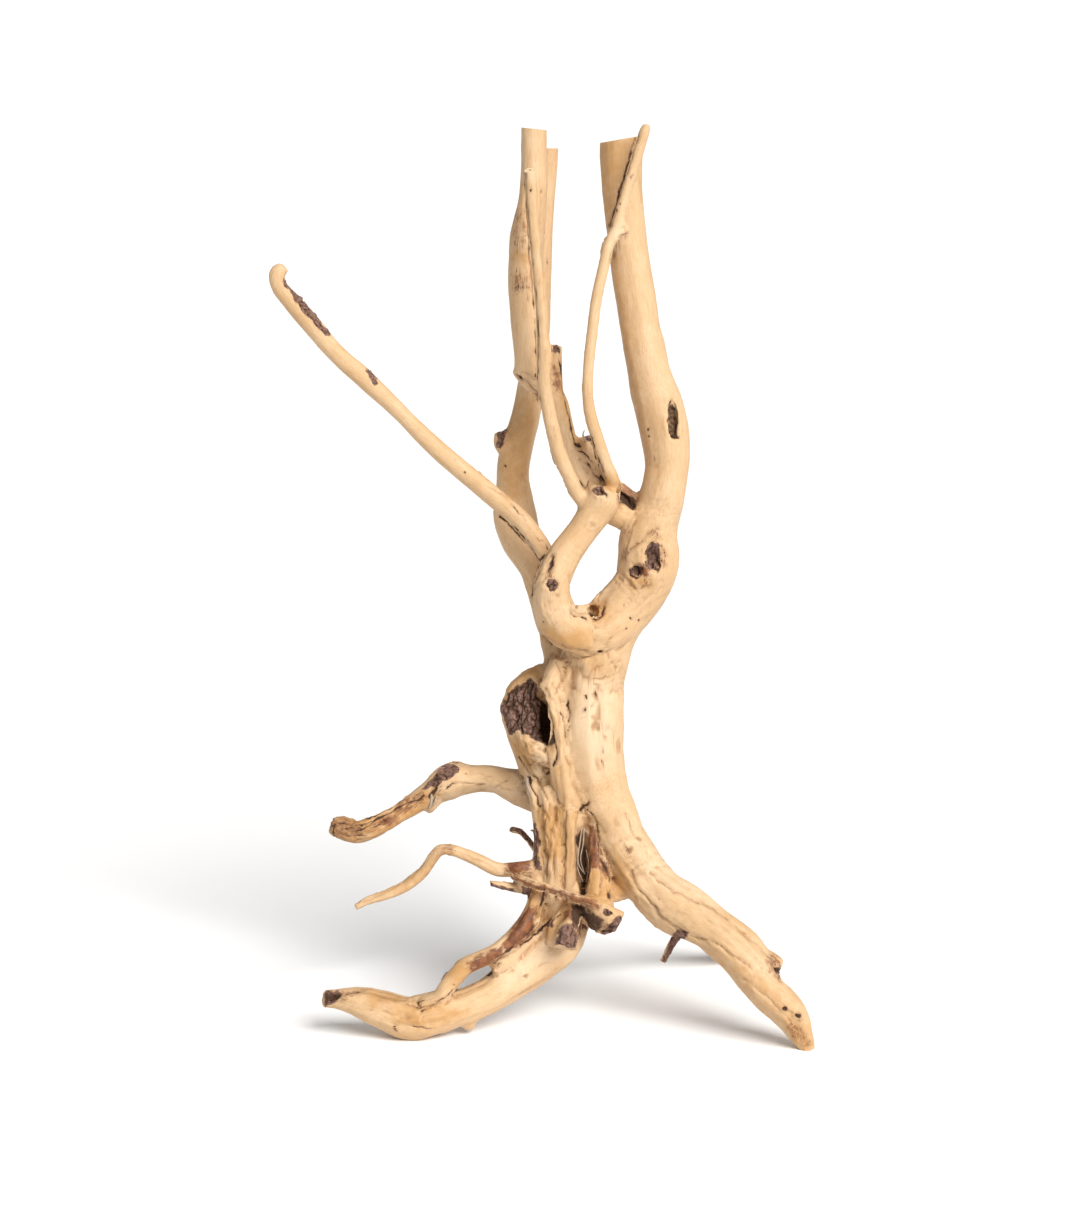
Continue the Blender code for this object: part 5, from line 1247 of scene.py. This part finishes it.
def plates(points, size, seed):
    """Cells like dried bark: a height for each cell, and how near each point is to a gap between cells."""
    where = points / size
    where = where + 0.35 * soft_noise(points, size * 0.8, seed)[:, None]
    home = np.floor(where).astype(np.int64)
    first = np.full(len(points), 9.0)
    second = np.full(len(points), 9.0)
    height = np.zeros(len(points))
    for dx in (-1, 0, 1):
        for dy in (-1, 0, 1):
            for dz in (-1, 0, 1):
                cell = home + np.array([dx, dy, dz])
                x, y, z = cell.T
                mixed = (x * 73856093 ^ y * 19349663 ^ z * 83492791 ^ seed * 2654435) & 0x7FFFFFFF
                jitter = np.stack([(mixed >> shift & 255) / 255.0 for shift in (0, 8, 16)], axis=1)
                far = np.linalg.norm(cell + jitter - where, axis=1)
                nearer = far < first
                second = np.where(nearer, first, np.minimum(second, far))
                height = np.where(nearer, (mixed >> 5 & 255) / 255.0, height)
                first = np.where(nearer, far, first)
    return height, np.clip(1 - (second - first) / 0.22, 0, 1)


barked = np.clip((bark - 0.45) / 0.15, 0, 1)
plate_height, plate_gap = plates(places * np.array([1.0, 1.0, 0.42]), 2.4 * MM, 5)
thick_bark = np.clip(1.6 * stout, 0.25, 1.0)
push += barked * thick_bark * (0.6 * crumble + 1.5 * plate_height - 1.1 * plate_gap - 0.4) * MM
# The gaps between bark plates are painted dark, as the shade in them.
crack_and_shade = np.maximum(crack_and_shade, barked * plate_gap * 0.75)
push += rough_zone * thick_bark * (0.36 * streaks + 0.34 * crumble) * MM
push[sawn | on_ground] = 0.0
push = np.clip(push, DEEPEST, HIGHEST)
moved = places + normals * push[:, None]
moved[~on_ground, 2] = np.maximum(moved[~on_ground, 2], 0.05 * MM)
moved[on_ground, 2] = 0.0
moved = np.clip(moved, np.array(low), np.array(high))
wood.data.vertices.foreach_set("co", moved.ravel())
wood.data.update()
print("carved", seconds())
# %% [markdown]
# ## Stains and painted shade carried by the points
# The finish needs to know where the bark, the cracks, the stains and the painted shade are, and which way
# the fibres run. Each point carries these as named values. The values fade over a few points, and the
# finish turns the fade into a sharp, ragged edge, so that the edge is finer than the faces. They could be
# painted, but values made with the forms always lie where the forms are.
# %% Painted shade in soft hollows, and the named values


def near_average(values, rounds):
    """The values spread over neighbouring points along the edges of the mesh."""
    pairs = np.empty(len(wood.data.edges) * 2, dtype=np.int32)
    wood.data.edges.foreach_get("vertices", pairs)
    a, b = pairs.reshape(-1, 2).T
    count = np.bincount(a, minlength=len(values)) + np.bincount(b, minlength=len(values))
    for _ in range(rounds):
        total = np.bincount(a, values[b], len(values)) + np.bincount(b, values[a], len(values))
        values = 0.5 * values + 0.5 * total / np.maximum(count, 1)
    return values


# Points that lie below their smoothed neighbours get painted shade, the deeper the darker, at two sizes.
smooth_place = np.stack([near_average(moved[:, i].copy(), 14) for i in range(3)], axis=1)
hollow_shade = ((smooth_place - moved) * read_normals(wood)).sum(1) / MM
small_smooth = np.stack([near_average(moved[:, i].copy(), 3) for i in range(3)], axis=1)
fine_hollow_shade = ((small_smooth - moved) * read_normals(wood)).sum(1) / MM
hollow_shade = np.clip(hollow_shade * 1.3 - 0.12, -1, 1)
fine_hollow_shade = np.clip(fine_hollow_shade * 4.0 - 0.10, -1, 1)
print("hollow_shade", round(float(hollow_shade.std()), 3), "fine", round(float(fine_hollow_shade.std()), 3))


def carry(name, kind, values):
    layer = wood.data.attributes.new(name, kind, "POINT")
    field = "value" if kind == "FLOAT" else "vector"
    layer.data.foreach_set(field, np.asarray(values, dtype=float).ravel())


streak = (streaks * 0.6 + fine_streaks * 0.4) * (1.0 + 1.3 * rough_zone)
whole = np.clip(seam / (1.2 * MM), 0, 1)   # 0 where two limbs meet
point_values = {
    "bark": bark, "crack_and_shade": crack_and_shade, "rust": rust, "gold_and_shade": gold_and_shade, "pale": pale, "hollow_shade": hollow_shade,
    "fine_hollow_shade": fine_hollow_shade, "streak": streak, "whole": whole,
}
for name, values in point_values.items():
    carry(name, "FLOAT", values)
carry("straight", "FLOAT_VECTOR", straight / MM)
print("values carried by", len(moved), "points")
# %% [markdown]
# ## The finish
# The wood is pale and dry, with fine fibres along each limb, golden and red-brown stains, dark cracks and
# scraps of bark, and shade is painted into its hollows, creases and gaps, and partly into the golden wood.
# Two shader node groups are built once: one draws fibres, the other turns a soft mask into a ragged one.
# The sawn ends have rings round the pith instead of fibres.
# %% Helpers for shader nodes
def node_in(tree, kind, **values):
    made = tree.nodes.new(kind)
    for name, value in values.items():
        setattr(made, name, value)
    return made


def join(tree, *pairs):
    for start, end in pairs:
        tree.links.new(start, end)


def math_node(tree, operation, first, second=None, third=None):
    made = node_in(tree, "ShaderNodeMath", operation=operation)
    for socket, value in zip(made.inputs, (first, second, third)):
        if value is None:
            continue
        if isinstance(value, (int, float)):
            socket.default_value = value
        else:
            tree.links.new(value, socket)
    return made.outputs[0]


def clamped(tree, value):
    made = node_in(tree, "ShaderNodeClamp")
    tree.links.new(value, made.inputs[0])
    return made.outputs[0]


def ramp(tree, value, slope, start):
    """The value times a slope plus a start, kept between 0 and 1."""
    return clamped(tree, math_node(tree, "MULTIPLY_ADD", value, slope, start))


def mix_colours(tree, amount, first, second):
    made = node_in(tree, "ShaderNodeMix", data_type="RGBA")
    for socket, value in ((made.inputs[0], amount), (made.inputs[6], first), (made.inputs[7], second)):
        if isinstance(value, tuple):
            socket.default_value = (*value, 1.0)
        elif isinstance(value, (int, float)):
            socket.default_value = value
        else:
            tree.links.new(value, socket)
    return made.outputs[2]


def stained(tree, colour, mask, share, stain):
    """A colour with a share of a stain over it, where the mask is."""
    return mix_colours(tree, math_node(tree, "MULTIPLY", mask, share), colour, stain)


def bump_in(tree, shader, height, strength, depth):
    bump = node_in(tree, "ShaderNodeBump")
    bump.inputs["Strength"].default_value = strength
    bump.inputs["Distance"].default_value = depth
    join(tree, (height, bump.inputs["Height"]), (bump.outputs["Normal"], shader.inputs["Normal"]))


def stretched(tree, coordinates, scale):
    made = node_in(tree, "ShaderNodeMapping", vector_type="POINT")
    made.inputs["Scale"].default_value = scale
    tree.links.new(coordinates, made.inputs["Vector"])
    return made.outputs["Vector"]


def noise_at(tree, coordinates, scale, detail=3.0, rough=0.55, warp=0.0):
    made = node_in(tree, "ShaderNodeTexNoise")
    made.inputs["Scale"].default_value = scale
    made.inputs["Detail"].default_value = detail
    made.inputs["Roughness"].default_value = rough
    made.inputs["Distortion"].default_value = warp
    tree.links.new(coordinates, made.inputs["Vector"])
    return made.outputs["Fac"]


def new_group(name, inputs, outputs):
    group = bpy.data.node_groups.new(name, "ShaderNodeTree")
    for label, kind in inputs:
        group.interface.new_socket(name=label, in_out="INPUT", socket_type=kind)
    for label, kind in outputs:
        group.interface.new_socket(name=label, in_out="OUTPUT", socket_type=kind)
    return group, group.nodes.new("NodeGroupInput").outputs, group.nodes.new("NodeGroupOutput").inputs


# %% Fibres: fine lines along the limb, and specks
fibre_group, given, puts = new_group(
    "wood_fibres",
    [("Straight", "NodeSocketVector"), ("Place", "NodeSocketVector"), ("Whole", "NodeSocketFloat")],
    [("Fibre", "NodeSocketFloat"), ("Pores", "NodeSocketFloat")])
along_limb = stretched(fibre_group, given["Straight"], (2.6, 2.6, 0.16))
lines = noise_at(fibre_group, along_limb, 1.0, 4.0, 0.62, 0.25)
plain = noise_at(fibre_group, given["Place"], 900.0, 3.0)
fibre = node_in(fibre_group, "ShaderNodeMix", data_type="FLOAT")
join(fibre_group, (given["Whole"], fibre.inputs[0]), (plain, fibre.inputs[2]), (lines, fibre.inputs[3]))
join(fibre_group, (fibre.outputs[0], puts["Fibre"]))
speck = noise_at(fibre_group, stretched(fibre_group, given["Straight"], (1.5, 1.5, 0.55)), 1.3, 2.0, 0.5)
speck = math_node(fibre_group, "SUBTRACT", speck, 0.70)
speck = clamped(fibre_group, math_node(fibre_group, "MULTIPLY", speck, 14.0))
speck = math_node(fibre_group, "MULTIPLY", speck, given["Whole"])
join(fibre_group, (speck, puts["Pores"]))
# %% Ragged edges: a soft mask cut at a half, with fine noise on it
ragged_group, given, puts = new_group(
    "ragged_edge",
    [("Mask", "NodeSocketFloat"), ("Place", "NodeSocketVector"), ("Size", "NodeSocketFloat"),
     ("Raggedness", "NodeSocketFloat"), ("Sharpness", "NodeSocketFloat")],
    [("Mask", "NodeSocketFloat")])
grit = node_in(ragged_group, "ShaderNodeTexNoise")
grit.inputs["Detail"].default_value = 4.0
grit.inputs["Roughness"].default_value = 0.65
join(ragged_group, (given["Place"], grit.inputs["Vector"]), (given["Size"], grit.inputs["Scale"]))
shift = math_node(ragged_group, "SUBTRACT", grit.outputs["Fac"], 0.5)
shift = math_node(ragged_group, "MULTIPLY", shift, given["Raggedness"])
cut = math_node(ragged_group, "ADD", given["Mask"], shift)
cut = math_node(ragged_group, "SUBTRACT", cut, 0.5)
cut = math_node(ragged_group, "MULTIPLY", cut, given["Sharpness"])
cut = math_node(ragged_group, "ADD", cut, 0.5)
join(ragged_group, (clamped(ragged_group, cut), puts["Mask"]))


def start_finish(name, roughness):
    finish = bpy.data.materials.new(name)
    finish.use_nodes = True
    shader = finish.node_tree.nodes["Principled BSDF"]
    shader.inputs["Roughness"].default_value = roughness
    shader.inputs["Specular IOR Level"].default_value = 0.35
    return finish, finish.node_tree, shader


def carried(tree, name, output="Fac"):
    made = node_in(tree, "ShaderNodeAttribute", attribute_type="GEOMETRY", attribute_name=name)
    return made.outputs[output]


def fibres_in(tree):
    place = node_in(tree, "ShaderNodeTexCoord").outputs["Object"]
    grain = node_in(tree, "ShaderNodeGroup", node_tree=fibre_group)
    join(tree, (carried(tree, "straight", "Vector"), grain.inputs["Straight"]),
         (place, grain.inputs["Place"]), (carried(tree, "whole"), grain.inputs["Whole"]))
    return place, grain.outputs["Fibre"], grain.outputs["Pores"]


def ragged(tree, mask, place, size, raggedness, sharpness):
    made = node_in(tree, "ShaderNodeGroup", node_tree=ragged_group)
    join(tree, (mask, made.inputs["Mask"]), (place, made.inputs["Place"]))
    made.inputs["Size"].default_value = size
    made.inputs["Raggedness"].default_value = raggedness
    made.inputs["Sharpness"].default_value = sharpness
    return made.outputs["Mask"]


# %% The wood itself
# The hollow, groove and crack colours and the dark wood round the cracks are painted shade; the golden
# colour is stain and painted shade.
LIGHT_WOOD = (0.665, 0.465, 0.278)
WARM_WOOD = (0.575, 0.365, 0.185)
GOLD_AND_SHADE_WOOD = (0.47, 0.245, 0.080)
LINE_WOOD = (0.40, 0.215, 0.088)
RED_WOOD = (0.115, 0.036, 0.014)
RUST_WOOD = (0.235, 0.080, 0.025)
PALE_WOOD = (0.74, 0.565, 0.385)
HOLLOW_SHADE = (0.34, 0.17, 0.065)
GROOVE_SHADE = (0.34, 0.175, 0.07)
DARK_WOOD_AND_SHADE = (0.16, 0.075, 0.035)
CRACK_AND_SHADE_DARK = (0.066, 0.032, 0.017)
BARK_LIGHT = (0.30, 0.178, 0.138)
BARK_DARK = (0.075, 0.037, 0.030)
wood_finish, tree, shader = start_finish("pale_wood", 0.55)
place, fibre, pores = fibres_in(tree)
broad = ramp(tree, noise_at(tree, place, 38.0, 3.0, 0.5), 2.6, -0.85)
colour = mix_colours(tree, broad, LIGHT_WOOD, WARM_WOOD)
colour = mix_colours(tree, ramp(tree, carried(tree, "streak"), 0.16, 0.16), colour, WARM_WOOD)
colour = stained(tree, colour, ramp(tree, carried(tree, "streak"), 0.42, -0.52), 0.75, LINE_WOOD)
colour = stained(tree, colour, ramp(tree, fibre, -2.6, 1.56), 0.66, LINE_WOOD)
colour = stained(tree, colour, ragged(tree, carried(tree, "pale"), place, 160.0, 1.2, 1.0), 0.55, PALE_WOOD)
# Golden stains, partly painted shade on the shaded sides and undersides.
colour = stained(tree, colour, ragged(tree, carried(tree, "gold_and_shade"), place, 240.0, 1.3, 1.4), 0.80, GOLD_AND_SHADE_WOOD)
# Painted shade in the hollows.
colour = stained(tree, colour, ramp(tree, carried(tree, "hollow_shade"), 1.1, 0.0), 0.66, HOLLOW_SHADE)
along_fibres = math_node(tree, "MULTIPLY_ADD", fibre, 2.2, -1.1)
rust_soft = math_node(tree, "MULTIPLY_ADD", along_fibres, 0.8, carried(tree, "rust"))
red_noise = math_node(tree, "MULTIPLY_ADD", noise_at(tree, place, 330.0, 4.0, 0.6), 4.5, -1.85)
red_share = clamped(tree, math_node(tree, "ADD", red_noise, along_fibres))
red_colour = mix_colours(tree, red_share, RED_WOOD, RUST_WOOD)
colour = stained(tree, colour, ragged(tree, rust_soft, place, 420.0, 0.9, 2.4), 0.98, red_colour)
# Painted shade in the fine grooves.
colour = stained(tree, colour, ramp(tree, carried(tree, "fine_hollow_shade"), 1.3, -0.25), 0.55, GROOVE_SHADE)
colour = stained(tree, colour, pores, 0.55, DARK_WOOD_AND_SHADE)
bark_noise = noise_at(tree, place, 700.0, 5.0, 0.7)
bark_colour = mix_colours(tree, ramp(tree, bark_noise, 4.0, -1.5), BARK_DARK, BARK_LIGHT)
bark_mask = ragged(tree, carried(tree, "bark"), place, 520.0, 0.8, 9.0)
colour = mix_colours(tree, bark_mask, colour, bark_colour)
# Painted shade in dark brown round the cracks, dents and shade patches.
colour = stained(tree, colour, carried(tree, "crack_and_shade"), 0.9, DARK_WOOD_AND_SHADE)
# Their darkest cores are painted near black, as the shade inside them.
crack_and_shade_mask = ragged(tree, carried(tree, "crack_and_shade"), place, 700.0, 0.45, 5.0)
colour = mix_colours(tree, crack_and_shade_mask, colour, CRACK_AND_SHADE_DARK)
join(tree, (colour, shader.inputs["Base Color"]))
either_dark = math_node(tree, "MAXIMUM", bark_mask, crack_and_shade_mask)
rough = math_node(tree, "MULTIPLY_ADD", either_dark, 0.4, 0.50)
rough = math_node(tree, "MULTIPLY_ADD", fibre, 0.12, rough)
join(tree, (rough, shader.inputs["Roughness"]))
height = math_node(tree, "MULTIPLY", fibre, 0.35)
height = math_node(tree, "MULTIPLY_ADD", pores, -0.4, height)
bark_height = math_node(tree, "MULTIPLY", math_node(tree, "MULTIPLY", bark_noise, bark_mask), 1.8)
height = math_node(tree, "ADD", height, bark_height)
bump_in(tree, shader, height, 0.75, 0.35 * MM)
print("pale_wood has", len(tree.nodes), "nodes")
# %% Sawn ends: rings round the pith
RING_LIGHT = (0.84, 0.66, 0.43)
RING_DARK = (0.60, 0.38, 0.18)
SAW_GRIT = (0.45, 0.28, 0.14)
PITH_DARK = (0.16, 0.08, 0.04)
sawn_finish, tree, shader = start_finish("sawn_wood", 0.7)
place = node_in(tree, "ShaderNodeTexCoord").outputs["Object"]
flat = stretched(tree, carried(tree, "straight", "Vector"), (1.0, 1.0, 0.0))
from_pith = node_in(tree, "ShaderNodeVectorMath", operation="LENGTH")
join(tree, (flat, from_pith.inputs[0]))
rings = math_node(tree, "MULTIPLY_ADD", noise_at(tree, flat, 0.35, 2.0), 2.2, from_pith.outputs["Value"])
rings = math_node(tree, "SINE", math_node(tree, "MULTIPLY", rings, 5.2))
rings = math_node(tree, "MULTIPLY_ADD", rings, 0.28, 0.30)
grit = noise_at(tree, place, 1500.0, 3.0)
colour = stained(tree, mix_colours(tree, rings, RING_LIGHT, RING_DARK), grit, 0.35, SAW_GRIT)
colour = mix_colours(tree, ramp(tree, from_pith.outputs["Value"], -3.0, 2.4), colour, PITH_DARK)
join(tree, (colour, shader.inputs["Base Color"]))
bump_in(tree, shader, math_node(tree, "ADD", grit, rings), 0.5, 0.2 * MM)
# %% Put the finishes on the skin
wood.data.materials.clear()
wood.data.materials.append(wood_finish)
wood.data.materials.append(sawn_finish)
all_sawn = sawn[face_corners(wood)].all(axis=1)
wood.data.polygons.foreach_set("material_index", all_sawn.astype(np.int32))
nothing_selected()
wood.select_set(True)
bpy.context.view_layer.objects.active = wood
bpy.ops.object.shade_smooth_by_angle(angle=math.radians(62))
wood.vertex_groups.clear()
print("sawn faces", int(all_sawn.sum()), "of", len(all_sawn))
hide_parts("stump")
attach(wood, "root")
# %% [markdown]
# ## Loose fibres and splinters
# A few dead fibres hang in the cavity between the roots, and torn edges carry splinters. They are too thin
# for the skin, so each is a short bevelled curve that starts well inside the wood. They are joined in one
# piece with a greyer finish.
# %% Fibres: stations as for the limbs
SPLINTERS = [
    [(21, 112, -9, 0.8), (20, 104, -14, 0.7), (18.9, 95, -15, 0.7), (19.6, 92, -15, 0.6),
     (22.5, 88, -13, 0.5)],
    [(22, 111, -10, 0.7), (21.6, 103.5, -14, 0.6), (20.3, 95, -14, 0.6), (22, 89, -12, 0.5)],
    [(20.5, 112, -12, 0.6), (22.6, 109.8, -15, 0.6), (24.6, 108, -12, 0.5)],
    [(19.5, 100, -10, 0.6), (18.6, 92, -14, 0.7), (21.5, 84, -13, 0.5)],
    [(23, 100, -9, 0.5), (24.5, 92, -13, 0.5), (23, 84, -12, 0.5)],
    [(-6.5, 136, -3, 1.6), (-5.8, 130.5, -6, 1.3), (-3.5, 126.5, -7, 0.9), (-2.8, 122.5, -7.5, 0.5)],
    [(-54, 130, 19, 1.8), (-54.5, 123, 16, 1.5), (-56, 119, 16, 0.8)],
    [(-51, 131, 19, 1.6), (-52.5, 124, 15.5, 1.3), (-54.5, 121.5, 15.5, 0.7)],
    [(-13, 84, -12, 1.4), (-10, 83.5, -15.5, 1.4), (-8.6, 84.5, -16.5, 0.8)],
    [(23, 304, -8, 1.2), (21.5, 307.6, -8.5, 0.9), (22.3, 310, -8, 0.4)],
    [(-2.4, 107, 4, 1.4), (-3.4, 109.6, 5, 1.2), (-4.6, 109.8, 6, 0.8)],
    [(27, 306, -7, 1.0), (28, 309, -8, 0.8), (28.6, 310.8, -8, 0.4)],
]
fibre_pieces = []
for number, stations in enumerate(SPLINTERS):
    strand = limb_curve("splinter_" + str(number), stations)
    strand.data.bevel_resolution = 2
    strand.data.resolution_u = 4
    for point, station in zip(strand.data.splines[0].bezier_points, stations):
        point.radius = station[3] / 2 * MM
    fibre_pieces.append(strand)
nothing_selected()
for strand in fibre_pieces:
    strand.select_set(True)
bpy.context.view_layer.objects.active = fibre_pieces[0]
bpy.ops.object.convert(target="MESH")
bpy.ops.object.join()
splinters = bpy.context.object
splinters.name = "splinters"
splinters.data.name = "splinters"
bpy.ops.object.shade_smooth()
STRAND_DARK = (0.20, 0.13, 0.09)
STRAND_LIGHT = (0.52, 0.42, 0.31)
splinter_finish, tree, shader = start_finish("grey_fibre", 0.8)
place = node_in(tree, "ShaderNodeTexCoord").outputs["Object"]
strands = noise_at(tree, stretched(tree, place, (1.0, 1.0, 0.25)), 2200.0, 3.0)
colour = mix_colours(tree, strands, STRAND_DARK, STRAND_LIGHT)
join(tree, (colour, shader.inputs["Base Color"]))
bump_in(tree, shader, strands, 0.5, 0.1 * MM)
splinters.data.materials.clear()
splinters.data.materials.append(splinter_finish)
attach(splinters, "root")
print("splinters", len(splinters.data.polygons), "faces")
# %% [markdown]
# ## Floor, light and camera
# The photograph has a plain white ground and soft light from the upper right. A wide pale floor under an
# even white sky gives that ground without a horizon. A broad sun gives the same light over the whole floor,
# where a lamp would leave the far floor grey.
# %% Floor
nothing_selected()
bpy.ops.mesh.primitive_plane_add(size=24.0, location=(0, 6.0, 0))
floor = bpy.context.object
floor.name = "floor"
bpy.ops.object.transform_apply(location=True)
floor_finish, tree, shader = start_finish("white_paper", 0.9)
paper = noise_at(tree, node_in(tree, "ShaderNodeTexCoord").outputs["Object"], 60.0, 2.0)
paper = mix_colours(tree, paper, (0.93, 0.93, 0.93), (0.94, 0.94, 0.94))
join(tree, (paper, shader.inputs["Base Color"]))
floor.data.materials.append(floor_finish)
print("floor", [round(side, 2) for side in floor.dimensions])
# %% Light
WHITE = (1.0, 1.0, 1.0, 1.0)
sky = bpy.data.worlds.new("studio")
sky.use_nodes = True
glow = sky.node_tree.nodes["Background"]
glow.inputs["Color"].default_value = WHITE
glow.inputs["Strength"].default_value = 0.40
white = sky.node_tree.nodes.new("ShaderNodeBackground")
white.inputs["Color"].default_value = WHITE
white.inputs["Strength"].default_value = 1.1
ray_kind = sky.node_tree.nodes.new("ShaderNodeLightPath")
either = sky.node_tree.nodes.new("ShaderNodeMixShader")
join(sky.node_tree, (ray_kind.outputs["Is Camera Ray"], either.inputs[0]),
     (glow.outputs[0], either.inputs[1]), (white.outputs[0], either.inputs[2]),
     (either.outputs[0], sky.node_tree.nodes["World Output"].inputs["Surface"]))
bpy.context.scene.world = sky
key = bpy.data.lights.new("key", "SUN")
key.energy = 4.22
key.angle = math.radians(34)
key.color = (1.0, 0.99, 0.97)
holder = bpy.data.objects.new("key", key)
holder.location = (0.62, -0.92, 1.08)
holder.rotation_euler = (Vector((0, 0, 0.2)) - holder.location).to_track_quat("-Z", "Y").to_euler()
bpy.context.scene.collection.objects.link(holder)
print("light from", [round(v, 2) for v in holder.location])
# %% Camera
SENSOR = 36.0
PICTURE_HEIGHT = 604.5   # millimetres on the picture plane
lens = bpy.data.cameras.new("photo_eye")
lens.sensor_fit = "AUTO"
lens.sensor_width = SENSOR
lens.lens = SENSOR * REACH / PICTURE_HEIGHT
camera = bpy.data.objects.new("photo_eye", lens)
camera.location = EYE
camera.rotation_euler = (math.radians(90) - PITCH, 0, 0)
bpy.context.scene.collection.objects.link(camera)
bpy.context.scene.camera = camera
bpy.context.scene.view_settings.view_transform = "Standard"
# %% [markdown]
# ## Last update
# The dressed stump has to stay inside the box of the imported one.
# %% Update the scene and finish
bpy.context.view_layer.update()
print("made in", seconds())
